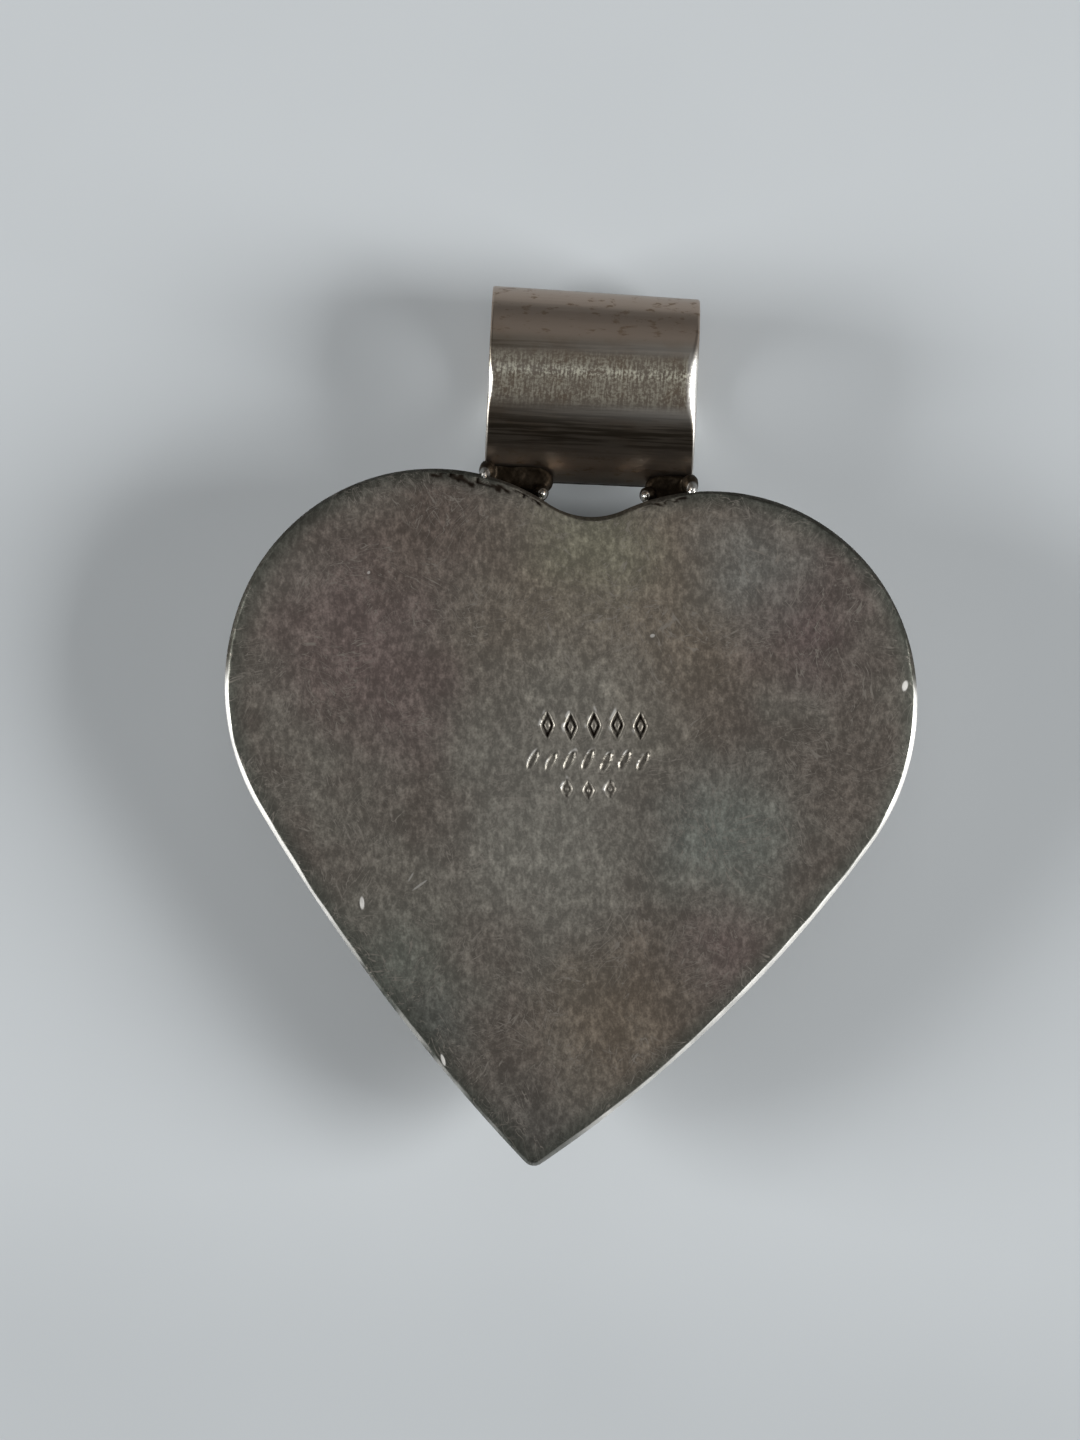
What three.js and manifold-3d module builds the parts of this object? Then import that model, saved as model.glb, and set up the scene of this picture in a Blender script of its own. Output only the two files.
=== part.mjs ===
// Heart pendant in sheet silver: a flat back plate soldered to a hollow domed front, with a wide strap bail.
// It lies face down on the crown of its dome and the front of its bail, so the back plate faces up.
// Millimetres. +Z is the back plate's outward normal, +Y runs from the heart's tip to the bail, and the
// origin is on the surface that the pendant lies on, under the middle of its outline.
import * as THREE from "three";
import { mergeVertices } from "three/addons/utils/BufferGeometryUtils.js";
import Module from "manifold-3d";

// Heart outline: the arcs of each side, from the cleft down to the tip. It was cut by hand, so the left hip
// runs further round than the right one and leaves its flank straighter.
const lobeRadius = 11.93;
const lobeSpread = 8.02; // from the centre line to each lobe's centre
const cleftRadius = 4.5;
const hipStart = THREE.MathUtils.degToRad(13.7); // above the level of the lobes' centres
const hipRadius = 13.84;
const rightHipSweep = THREE.MathUtils.degToRad(45.1);
const leftHipSweep = THREE.MathUtils.degToRad(48.9);
const tipReach = 27.97; // from the line through the lobes' centres down to the tip, before it is rounded
const tipRadius = 0.73;

// Sheet thicknesses and the solder between them.
const plateThickness = 0.9;
const plateEdgeWidth = 0.9; // the filed edge of the plate's outer face rolls off over this width
const plateEdgeDrop = 0.4;
const shellWall = 0.8;
const seamThickness = 0.12;
const solderClearance = 0.04; // between a solder fillet and the curved metal that it wets

// Domed front.
const domeHeight = 6.98;
const domeFullness = 2.8; // 2 is an ellipse in section, and more is a flatter crown with steeper sides
const crownDrop = 2.2; // from the lobes' centre line down to the crown
const crownRadius = 15; // the round form that the heart melts into towards the crown
const ventDiameter = 0.8; // the hole that let the hot air out when the plate was soldered on
const ventBelowSeam = 2.1;
const ventDrill = 3.2; // long enough to pass through the wall in the cleft

// Bail: a flat strip bent round an oval former, its two ends soldered together where it meets the heart.
const strapWidth = 12.1;
const strapThickness = 1.1;
const strapEdgeRound = 0.32;
const bailLength = 11.3; // outside, along the oval's long axis
const bailDepth = 8; // outside, across it
const bailTurn = THREE.MathUtils.degToRad(2.1); // hand-set a little out of square, towards the left lobe
const bailSeat = 0.15; // from the lobes' tops down to the lowest line of the bail
const bailJointGap = 0.25; // saw cut between the strip's two ends

// Solder that joins the bail to the shoulders of the heart, in two fillets with a see-through gap between.
const leftFilletInner = 2; // from the centre line to the left fillet's inner end
const rightFilletInner = 3.3;
const filletOverrun = 0.3; // how far a fillet runs out past the strap's edge
const filletRadius = 1.1;
const filletRise = 0.12; // from the lowest line of the bail up to the fillet's middle
const filletSink = 2.7; // from the back plate's outer face down to the fillet's middle
const coveRadius = 1.2; // the hollow that the solder's outer face draws between the two metals
const coveSink = 1.95; // from the back plate's outer face down to the lowest line of that hollow

// Facets.
const cleftSteps = 8;
const lobeSteps = 14;
const hipSteps = 7;
const flankSteps = 5;
const tipSteps = 6;
const domeSteps = 13;
const roundSteps = 3;
const bailSteps = 52;
const filletSteps = 20;
const filletEndSteps = 6;
const ventSteps = 12;
const sharpestTip = 0.035; // radius left at the tip of an outline that is drawn in past the tip's rounding
const mergeTolerance = 1e-4;

// Places worked out from the dimensions above.
const plateTop = domeHeight + seamThickness + plateThickness;
const seamTop = domeHeight + seamThickness;
const crown = new THREE.Vector2(0, -crownDrop);
const lobeCentre = new THREE.Vector2(lobeSpread, 0);
const cleftCentre = new THREE.Vector2(0, Math.sqrt((lobeRadius + cleftRadius) ** 2 - lobeSpread ** 2));
const bailFoot = lobeRadius - bailSeat;

const silver = new THREE.MeshStandardMaterial({ color: 0x8a847e, roughness: 0.42, metalness: 1 });
const wornSilver = new THREE.MeshStandardMaterial({ color: 0xb3aea8, roughness: 0.3, metalness: 1 });
const solder = new THREE.MeshStandardMaterial({ color: 0x9c958a, roughness: 0.35, metalness: 1 });

const wasm = await Module();
wasm.setup();

/** The points of an arc, both ends included. */
function arcPoints(centre, radius, from, to, steps) {
  return new THREE.ArcCurve(centre.x, centre.y, radius, from, to, to < from).getPoints(steps);
}

/** The direction that an angle points in. */
function towards(angle) {
  return new THREE.Vector2(Math.cos(angle), Math.sin(angle));
}

/** The angle in which one point is seen from another. */
function bearing(from, to) {
  return Math.atan2(to.y - from.y, to.x - from.x);
}

/** A point on the other side of the centre line. */
function mirrored(point) {
  return new THREE.Vector2(-point.x, point.y);
}

/** Where two circles cross, on the left of the way from the first one's centre to the second one's. */
function circlesCross(first, firstRadius, second, secondRadius) {
  const way = second.clone().sub(first);
  const distance = way.length();
  const along = (firstRadius ** 2 - secondRadius ** 2 + distance ** 2) / (2 * distance);
  const aside = Math.sqrt(firstRadius ** 2 - along ** 2);
  way.normalize();
  const left = new THREE.Vector2(-way.y, way.x);
  return first.clone().addScaledVector(way, along).addScaledVector(left, aside);
}

/** The hip and flank of one side, drawn on the right. The flank leaves the hip in line and meets the tip. */
function sideArcs(hipSweep) {
  const hipCentre = lobeCentre.clone().addScaledVector(towards(hipStart), lobeRadius - hipRadius);
  const hipEnd = hipStart - hipSweep;
  const outward = towards(hipEnd);
  const flankStart = hipCentre.clone().addScaledVector(outward, hipRadius);
  const toTip = new THREE.Vector2(0, -tipReach).sub(flankStart);
  const flankRadius = -toTip.lengthSq() / (2 * toTip.dot(outward));
  const flankCentre = flankStart.clone().addScaledVector(outward, -flankRadius);
  return { hipCentre, hipEnd, flankCentre, flankRadius };
}

/** The points of one side drawn in by an inset, on the right, from the cleft's arc down to the tip's. */
function sidePoints(side, inset, tipCentre) {
  const lobeStart = bearing(cleftCentre, lobeCentre) + Math.PI;
  const flankEnd = bearing(side.flankCentre, tipCentre);
  return [
    ...arcPoints(lobeCentre, lobeRadius - inset, lobeStart, hipStart, lobeSteps),
    ...arcPoints(side.hipCentre, hipRadius - inset, hipStart, side.hipEnd, hipSteps).slice(1),
    ...arcPoints(side.flankCentre, side.flankRadius - inset, side.hipEnd, flankEnd, flankSteps).slice(1),
  ];
}

/** The heart's outline drawn in by an inset, clockwise from the cleft, with as many points at any inset. */
function heartOutline(inset) {
  const right = sideArcs(rightHipSweep);
  const left = sideArcs(leftHipSweep);
  const tipRound = Math.max(tipRadius - inset, sharpestTip);
  const tipCentre = circlesCross(
    mirrored(left.flankCentre),
    left.flankRadius - inset - tipRound,
    right.flankCentre,
    right.flankRadius - inset - tipRound,
  );
  const lobeBearing = bearing(cleftCentre, lobeCentre);
  const rightEnd = bearing(right.flankCentre, tipCentre);
  const leftEnd = bearing(mirrored(left.flankCentre), tipCentre);
  const rightSide = sidePoints(right, inset, tipCentre);
  const leftSide = sidePoints(left, inset, mirrored(tipCentre)).map(mirrored).reverse();
  return [
    ...arcPoints(cleftCentre, cleftRadius + inset, -Math.PI - lobeBearing, lobeBearing, cleftSteps),
    ...rightSide.slice(1),
    ...arcPoints(tipCentre, tipRound, rightEnd, leftEnd, tipSteps).slice(1),
    ...leftSide.slice(1, -1),
  ];
}

/** A closed body skinned over rings that run clockwise about its length, capped by end points or a loop. */
function loft(rings, startPoint, endPoint) {
  const count = rings[0].length;
  const points = rings.flat();
  const index = [];
  const spans = startPoint ? rings.length - 1 : rings.length;
  for (let r = 0; r < spans; r++) {
    const here = r * count;
    const next = ((r + 1) % rings.length) * count;
    for (let i = 0; i < count; i++) {
      const j = (i + 1) % count;
      index.push(here + i, next + i, here + j, here + j, next + i, next + j);
    }
  }
  if (startPoint) {
    const last = (rings.length - 1) * count;
    for (let i = 0; i < count; i++) {
      const j = (i + 1) % count;
      index.push(points.length, i, j, points.length + 1, last + j, last + i);
    }
    points.push(startPoint, endPoint);
  }
  return new THREE.BufferGeometry().setFromPoints(points).setIndex(index);
}

/** An outline lifted to a height. */
function ringAt(outline, height) {
  return outline.map((p) => new THREE.Vector3(p.x, p.y, height));
}

/** A closed geometry as a solid that can be cut. */
function solidOf(geometry) {
  const bare = new THREE.BufferGeometry().setIndex(geometry.index);
  bare.setAttribute("position", geometry.getAttribute("position"));
  const merged = mergeVertices(bare, mergeTolerance);
  return new wasm.Manifold(
    new wasm.Mesh({
      numProp: 3,
      vertProperties: merged.attributes.position.array,
      triVerts: new Uint32Array(merged.index.array),
    }),
  );
}

/** A cut solid as a geometry. */
function geometryOf(solid) {
  const mesh = solid.getMesh();
  return new THREE.BufferGeometry()
    .setAttribute("position", new THREE.BufferAttribute(mesh.vertProperties, mesh.numProp))
    .setIndex(new THREE.BufferAttribute(mesh.triVerts, 1));
}

/** Rings of a dome over an outline, from beside its crown out to its rim, opening towards +Z. */
function domeRings(inset, height) {
  const outline = heartOutline(inset);
  const rings = [];
  for (let s = 1; s <= domeSteps; s++) {
    const angle = (s / domeSteps) * (Math.PI / 2);
    const share = Math.sin(angle) ** (2 / domeFullness);
    const depth = s === domeSteps ? 0 : Math.cos(angle) ** (2 / domeFullness);
    rings.push(
      outline.map((p) => {
        const spoke = p.clone().sub(crown);
        const reach = THREE.MathUtils.lerp(crownRadius, spoke.length(), share) * share;
        spoke.setLength(reach).add(crown);
        return new THREE.Vector3(spoke.x, spoke.y, domeHeight - height * depth);
      }),
    );
  }
  return rings;
}

/** The domed front: an open shell with a flat rim, and a vent hidden in the cleft. */
function frontShell() {
  const outside = domeRings(0, domeHeight);
  const inside = domeRings(shellWall, domeHeight - shellWall).reverse();
  const crownOutside = new THREE.Vector3(crown.x, crown.y, 0);
  const crownInside = new THREE.Vector3(crown.x, crown.y, shellWall);
  const shell = solidOf(loft([...outside, ...inside], crownOutside, crownInside));
  const vent = new THREE.CylinderGeometry(ventDiameter / 2, ventDiameter / 2, ventDrill, ventSteps);
  vent.translate(0, cleftCentre.y - cleftRadius - shellWall / 2, domeHeight - ventBelowSeam);
  return geometryOf(shell.subtract(solidOf(vent)));
}

/** The thin line of solder between the shell's rim and the back plate. */
function rimSeam() {
  const outside = heartOutline(0);
  const inside = heartOutline(shellWall);
  return loft([
    ringAt(outside, domeHeight),
    ringAt(outside, seamTop),
    ringAt(inside, seamTop),
    ringAt(inside, domeHeight),
  ]);
}

/** The flat back plate, the edge of its outer face rolled off by filing. */
function backPlate() {
  const rings = [ringAt(heartOutline(0), seamTop)];
  for (let s = 0; s <= roundSteps; s++) {
    const angle = (s / roundSteps) * (Math.PI / 2);
    const inset = plateEdgeWidth * (1 - Math.cos(angle));
    rings.push(ringAt(heartOutline(inset), plateTop - plateEdgeDrop * (1 - Math.sin(angle))));
  }
  const below = new THREE.Vector3(crown.x, crown.y, seamTop);
  const above = new THREE.Vector3(crown.x, crown.y, plateTop);
  return loft(rings, below, above);
}

/** The strip's section grown by a clearance: x across the strap, y out from its middle line. */
function strapSection(clearance) {
  const cornerX = strapWidth / 2 + clearance - strapEdgeRound;
  const cornerY = strapThickness / 2 + clearance - strapEdgeRound;
  const corners = [[1, 1, 0], [-1, 1, 90], [-1, -1, 180], [1, -1, 270]];
  return corners.flatMap(([sx, sy, start]) => {
    const centre = new THREE.Vector2(sx * cornerX, sy * cornerY);
    const from = THREE.MathUtils.degToRad(start);
    return arcPoints(centre, strapEdgeRound, from, from + Math.PI / 2, roundSteps);
  });
}

/** The strap's section at an angle round the upright oval, where 0 is the joint beside the heart. */
function strapStation(angle, clearance) {
  const long = (bailLength - strapThickness) / 2;
  const across = (bailDepth - strapThickness) / 2;
  const middle = new THREE.Vector3(0, -long * Math.cos(angle), across * Math.sin(angle));
  const outward = new THREE.Vector3(0, -Math.cos(angle) / long, Math.sin(angle) / across).normalize();
  return strapSection(clearance).map((p) => {
    return new THREE.Vector3(p.x, 0, 0).add(middle).addScaledVector(outward, p.y);
  });
}

/** Where the bail is set: turned a little, and seated between the lobes' tops. */
function bailPlacement() {
  const foot = new THREE.Matrix4().makeTranslation(0, bailLength / 2, bailDepth / 2);
  const turn = new THREE.Matrix4().makeRotationZ(bailTurn);
  const seat = new THREE.Matrix4().makeTranslation(0, bailFoot, 0);
  return seat.multiply(turn).multiply(foot);
}

/** Half the angle round the oval that the saw cut between the strip's ends takes up. */
function jointHalfAngle() {
  return bailJointGap / (bailDepth - strapThickness);
}

/** A length of the bent strip between two angles, set in place. */
function bentStrip(from, to, steps) {
  const rings = [];
  for (let s = 0; s <= steps; s++) {
    rings.push(strapStation(from + ((to - from) * s) / steps, 0));
  }
  const startMiddle = new THREE.Box3().setFromPoints(rings[0]).getCenter(new THREE.Vector3());
  const endMiddle = new THREE.Box3().setFromPoints(rings[steps]).getCenter(new THREE.Vector3());
  return loft(rings, startMiddle, endMiddle).applyMatrix4(bailPlacement());
}

/** The bail's strap, an open oval. */
function bailStrap() {
  const start = jointHalfAngle();
  return bentStrip(start, 2 * Math.PI - start, bailSteps);
}

/** The solder that closes the saw cut between the strip's two ends. */
function bailJoint() {
  return bentStrip(-jointHalfAngle(), jointHalfAngle(), 1);
}

/** The whole bail grown by the clearance, with no saw cut, for cutting the solder that wets it. */
function bailEnvelope() {
  const rings = [];
  for (let s = 0; s < bailSteps; s++) {
    rings.push(strapStation((s / bailSteps) * 2 * Math.PI, solderClearance));
  }
  return solidOf(loft(rings).applyMatrix4(bailPlacement()));
}

/** The whole heart grown by the clearance, for cutting the solder that wets it. */
function heartEnvelope() {
  const rings = domeRings(-solderClearance, domeHeight);
  rings.push(ringAt(heartOutline(-solderClearance), plateTop + solderClearance));
  const below = new THREE.Vector3(crown.x, crown.y, -solderClearance);
  const above = new THREE.Vector3(crown.x, crown.y, plateTop + solderClearance);
  return solidOf(loft(rings, below, above));
}

/** A fillet of solder on a shoulder of the heart, from its inner end out to the strap's edge. */
function bailFillet(side, inner, bail, heart) {
  const outer = strapWidth / 2 + filletOverrun;
  const middle = (side * (outer + inner)) / 2;
  const lift = bailFoot + filletRise;
  const straight = outer - inner - 2 * filletRadius;
  const bead = new THREE.CapsuleGeometry(filletRadius, straight, filletEndSteps, filletSteps);
  bead.rotateZ(Math.PI / 2);
  bead.translate(middle, lift, plateTop - filletSink);
  const cove = new THREE.CylinderGeometry(coveRadius, coveRadius, 2 * outer, 2 * filletSteps);
  cove.rotateZ(Math.PI / 2);
  cove.translate(middle, lift, plateTop - coveSink + coveRadius);
  const pieces = solidOf(bead).subtract(solidOf(cove)).subtract(bail).subtract(heart).decompose();
  return geometryOf(pieces.sort((a, b) => b.volume() - a.volume())[0]);
}

const pendant = new THREE.Group();

/** Adds a named piece to the pendant. */
function addPiece(name, geometry, material) {
  const mesh = new THREE.Mesh(geometry, material);
  mesh.name = name;
  pendant.add(mesh);
  return mesh;
}

addPiece("front_shell", frontShell(), silver);
addPiece("rim_solder_seam", rimSeam(), solder);
addPiece("back_plate", backPlate(), silver);
addPiece("bail_strap", bailStrap(), wornSilver);
addPiece("bail_joint_solder", bailJoint(), solder);

const bail = bailEnvelope();
const heart = heartEnvelope();
addPiece("bail_solder_left", bailFillet(-1, leftFilletInner, bail, heart), solder);
addPiece("bail_solder_right", bailFillet(1, rightFilletInner, bail, heart), solder);

// The outline's middle goes over the origin.
const outlineBox = new THREE.Box3().setFromObject(pendant);
const middle = outlineBox.getCenter(new THREE.Vector3());
pendant.position.set(-middle.x, -middle.y, 0);

export default pendant;
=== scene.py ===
"""Heart pendant in tarnished sheet silver, lying face down with its flat back plate up.

The pieces are made in millimetres from the middle of the line through the heart's two lobe centres, with +Y
towards the bail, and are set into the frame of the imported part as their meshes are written.
"""

import logging
import math
from collections.abc import Callable, Sequence
from dataclasses import dataclass, field
from enum import Enum

import bmesh
import bpy
import numpy as np
from mathutils import Matrix, Vector, noise


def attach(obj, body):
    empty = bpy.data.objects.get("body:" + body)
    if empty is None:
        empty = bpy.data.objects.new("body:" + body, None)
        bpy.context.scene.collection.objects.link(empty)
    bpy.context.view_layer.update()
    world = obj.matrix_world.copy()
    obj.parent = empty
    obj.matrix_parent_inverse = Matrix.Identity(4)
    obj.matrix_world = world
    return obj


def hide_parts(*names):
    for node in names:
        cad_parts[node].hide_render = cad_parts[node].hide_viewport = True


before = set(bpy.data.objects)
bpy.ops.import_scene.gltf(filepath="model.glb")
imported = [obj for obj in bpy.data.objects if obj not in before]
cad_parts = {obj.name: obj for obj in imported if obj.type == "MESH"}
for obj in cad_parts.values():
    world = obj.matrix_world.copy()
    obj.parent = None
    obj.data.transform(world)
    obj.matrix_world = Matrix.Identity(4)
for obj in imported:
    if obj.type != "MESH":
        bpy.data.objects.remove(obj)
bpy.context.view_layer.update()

LOG = logging.getLogger("heart_pendant")
MM = 0.001
BODY = "root"
ROW_LIFT = 2.2296  # from the line through the lobes' centres up to the part's origin
DOME_HEIGHT = 6.98
SEAM_TOP = 7.1
FACE_LEVEL = 8.0
CROWN = (0.0, -2.2)
SMOOTH_ANGLE = math.radians(38)
SCREEN_GAMMA = 2.2

Colour = tuple[float, float, float, float]
Point = tuple[float, float]
Socket = bpy.types.NodeSocket
Value = Socket | bpy.types.Material | float | tuple


def srgb(red: int, green: int, blue: int) -> Colour:
    """Turns a colour as a screen shows it into the linear colour that a shader takes.

    Args:
        red: Red, 0 to 255.
        green: Green, 0 to 255.
        blue: Blue, 0 to 255.

    Returns:
        The linear colour, with an alpha of 1.
    """
    shares = (channel / 255 for channel in (red, green, blue))
    linear = [s / 12.92 if s <= 0.04045 else ((s + 0.055) / 1.055) ** 2.4 for s in shares]
    return (linear[0], linear[1], linear[2], 1.0)


def ease(values: np.ndarray, low: float, high: float) -> np.ndarray:
    """Rises smoothly from 0 at one value to 1 at another.

    Args:
        values: The values to ease.
        low: Where the result is 0.
        high: Where the result is 1; it may lie below the first.

    Returns:
        The eased shares, 0 to 1.
    """
    share = np.clip((values - low) / (high - low), 0, 1)
    return share * share * (3 - 2 * share)


def hump(values: np.ndarray, middle: float, reach: float, power: int = 2) -> np.ndarray:
    """Rises to 1 at a value and falls off to both sides.

    Args:
        values: The values to weigh.
        middle: Where the result is 1.
        reach: How far off the middle the result is 0.37.
        power: 2 for a soft hump, and 4 for a flatter one.

    Returns:
        The shares, 0 to 1.
    """
    return np.exp(-(((values - middle) / reach) ** power))


def arc(centre: Point, radius: float, start: float, end: float, steps: int) -> np.ndarray:
    """Lays points along an arc, both ends included.

    Args:
        centre: Middle of the circle.
        radius: Radius of the circle.
        start: First angle, in radians.
        end: Last angle, in radians.
        steps: Number of spans between points.

    Returns:
        The points, one row each.
    """
    angles = np.linspace(start, end, steps + 1)
    return np.stack([centre[0] + radius * np.cos(angles), centre[1] + radius * np.sin(angles)], axis=1)


def bearing(start: Point, end: Point) -> float:
    """Gives the angle in which one point is seen from another."""
    return math.atan2(end[1] - start[1], end[0] - start[0])


def lifted(points: np.ndarray, height: float | np.ndarray) -> np.ndarray:
    """Gives flat points a height, or a height each."""
    heights = np.broadcast_to(np.asarray(height, float), (len(points),))
    return np.column_stack([points, heights])


def waves(points: np.ndarray, seed: int, count: int, shortest: float, longest: float) -> np.ndarray:
    """Adds up fixed random waves into a gentle unevenness.

    Args:
        points: Flat points, in millimetres.
        seed: Seed of the waves.
        count: Number of waves.
        shortest: Shortest wavelength, in millimetres.
        longest: Longest wavelength, in millimetres.

    Returns:
        A value for each point, mostly from -1 to 1.
    """
    draw = np.random.default_rng(seed)
    total = np.zeros(len(points))
    for _ in range(count):
        heading = draw.uniform(0, math.pi)
        pace = 2 * math.pi / draw.uniform(shortest, longest)
        phase = draw.uniform(0, 2 * math.pi)
        along = points[:, 0] * math.cos(heading) + points[:, 1] * math.sin(heading)
        total += np.cos(along * pace + phase)
    return total / math.sqrt(count)


def skin_rings(name: str, rings: Sequence[np.ndarray], poles: tuple[tuple, tuple]) -> bpy.types.Mesh:
    """Skins rings of equal length into a closed mesh whose faces point outwards.

    Args:
        name: Name of the mesh.
        rings: Rings of points in millimetres.
        poles: The points that close the first and the last ring.

    Returns:
        The mesh, in metres in the part's frame.
    """
    count = len(rings[0])
    points = np.concatenate(rings)
    grid = np.arange(len(points)).reshape(len(rings), count)
    here, after = grid[:-1], grid[1:]
    quads = np.stack([after, here, np.roll(here, -1, 1), np.roll(after, -1, 1)], axis=-1)
    first, last = len(points), len(points) + 1
    points = np.concatenate([points, np.array(poles, float)])
    faces = quads.reshape(-1, 4).tolist()
    faces += [[i, first, j] for i, j in zip(grid[0], np.roll(grid[0], -1))]
    faces += [[last, i, j] for i, j in zip(grid[-1], np.roll(grid[-1], -1))]
    mesh = bpy.data.meshes.new(name)
    mesh.from_pydata(to_row(points).tolist(), [], faces)
    point_outwards(mesh)
    return mesh


def to_row(points: np.ndarray) -> np.ndarray:
    """Moves points from the heart's own millimetres to metres in the part's frame."""
    return (points + np.array([0, ROW_LIFT, 0])) * MM


def from_row(points: np.ndarray) -> np.ndarray:
    """Moves points from metres in the part's frame back to the heart's own millimetres."""
    return points / MM - np.array([0, ROW_LIFT, 0])


def point_outwards(mesh: bpy.types.Mesh) -> None:
    """Turns a closed mesh right side out if its faces point inwards."""
    work = bmesh.new()
    work.from_mesh(mesh)
    if work.calc_volume(signed=True) < 0:
        bmesh.ops.reverse_faces(work, faces=work.faces[:])
        work.to_mesh(mesh)
    work.free()
    mesh.update()


def corner_points(mesh: bpy.types.Mesh) -> np.ndarray:
    """Reads a mesh's vertices.

    Args:
        mesh: A mesh in the part's frame.

    Returns:
        Its vertices, in the heart's own millimetres.
    """
    flat = np.empty(len(mesh.vertices) * 3)
    mesh.vertices.foreach_get("co", flat)
    return from_row(flat.reshape(-1, 3))


def move_corners(mesh: bpy.types.Mesh, points: np.ndarray) -> None:
    """Writes a mesh's vertices from points in the heart's own millimetres."""
    mesh.vertices.foreach_set("co", to_row(points).ravel())
    mesh.update()


def paint(mesh: bpy.types.Mesh, name: str, shares: np.ndarray) -> None:
    """Keeps a value for each vertex under a name, for the finish to read."""
    layer = mesh.attributes.get(name) or mesh.attributes.new(name, "FLOAT", "POINT")
    layer.data.foreach_set("value", np.clip(shares, 0, 1).astype(np.float32))


def evaluated_mesh(carrier: bpy.types.Object, name: str) -> bpy.types.Mesh:
    """Applies an object's modifiers and removes the object.

    Args:
        carrier: The object whose modifiers are wanted.
        name: Name of the resulting mesh.

    Returns:
        The plain mesh.
    """
    depsgraph = bpy.context.evaluated_depsgraph_get()
    mesh = bpy.data.meshes.new_from_object(carrier.evaluated_get(depsgraph))
    mesh.name = name
    carrier.modifiers.clear()
    bpy.data.objects.remove(carrier)
    return mesh


def add_object(name: str, mesh: bpy.types.Mesh) -> bpy.types.Object:
    """Puts a mesh into the scene at the origin."""
    made = bpy.data.objects.new(name, mesh)
    bpy.context.scene.collection.objects.link(made)
    return made


@dataclass(frozen=True)
class Scratches:
    """Fine scratches that run one way: direction in radians, spacing and length in mm, and thickness."""

    angle: float
    width: float
    reach: float
    share: float


class NodeSheet:
    """A node tree that is laid out in code."""

    def __init__(self, tree: bpy.types.NodeTree) -> None:
        """Starts on an empty tree.

        Args:
            tree: The tree that takes the nodes.
        """
        self.tree = tree
        self.tree.nodes.clear()

    def put(self, socket: Socket, value: Value) -> None:
        """Feeds a socket with a link or a plain value."""
        if isinstance(value, bpy.types.NodeSocket):
            self.tree.links.new(value, socket)
        else:
            socket.default_value = value

    def node(self, kind: str, inputs: dict[str | int, Value], **settings: object) -> bpy.types.Node:
        """Adds a node.

        Args:
            kind: The node's type.
            inputs: What each input takes, by its name or number.
            **settings: The node's own properties.

        Returns:
            The node.
        """
        made = self.tree.nodes.new(kind)
        for name, value in settings.items():
            setattr(made, name, value)
        for name, value in inputs.items():
            self.put(made.inputs[name], value)
        return made

    def vector(self, operation: str, first: Value, second: Value) -> Socket:
        """Works on two vectors, one channel at a time."""
        return self.node("ShaderNodeVectorMath", {0: first, 1: second}, operation=operation).outputs[0]

    def math(self, operation: str, first: Value, second: Value = 0.0) -> Socket:
        """Works on two numbers."""
        return self.node("ShaderNodeMath", {0: first, 1: second}, operation=operation).outputs[0]

    def times(self, first: Value, second: Value) -> Socket:
        """Multiplies two numbers."""
        return self.math("MULTIPLY", first, second)

    def total(self, *values: Value) -> Socket:
        """Adds numbers up."""
        result = values[0]
        for value in values[1:]:
            result = self.math("ADD", result, value)
        return result

    def triple(self, x: Value, y: Value, z: Value) -> Socket:
        """Joins three numbers into a vector."""
        return self.node("ShaderNodeCombineXYZ", {0: x, 1: y, 2: z}).outputs[0]

    def split(self, value: Value) -> tuple[Socket, Socket, Socket]:
        """Gives a vector's three channels."""
        made = self.node("ShaderNodeSeparateXYZ", {0: value})
        return (made.outputs[0], made.outputs[1], made.outputs[2])

    def ease(self, value: Value, low: float, high: float, start: float = 0.0, end: float = 1.0) -> Socket:
        """Rises smoothly from one result to another between two values.

        Args:
            value: The number to ease.
            low: Where the result is the first one.
            high: Where the result is the second one.
            start: The first result.
            end: The second result.

        Returns:
            The eased number.
        """
        sides = {0: value, 1: min(low, high), 2: max(low, high)}
        results = {3: start, 4: end} if low < high else {3: end, 4: start}
        made = self.node("ShaderNodeMapRange", {**sides, **results}, interpolation_type="SMOOTHSTEP")
        return made.outputs[0]


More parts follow.
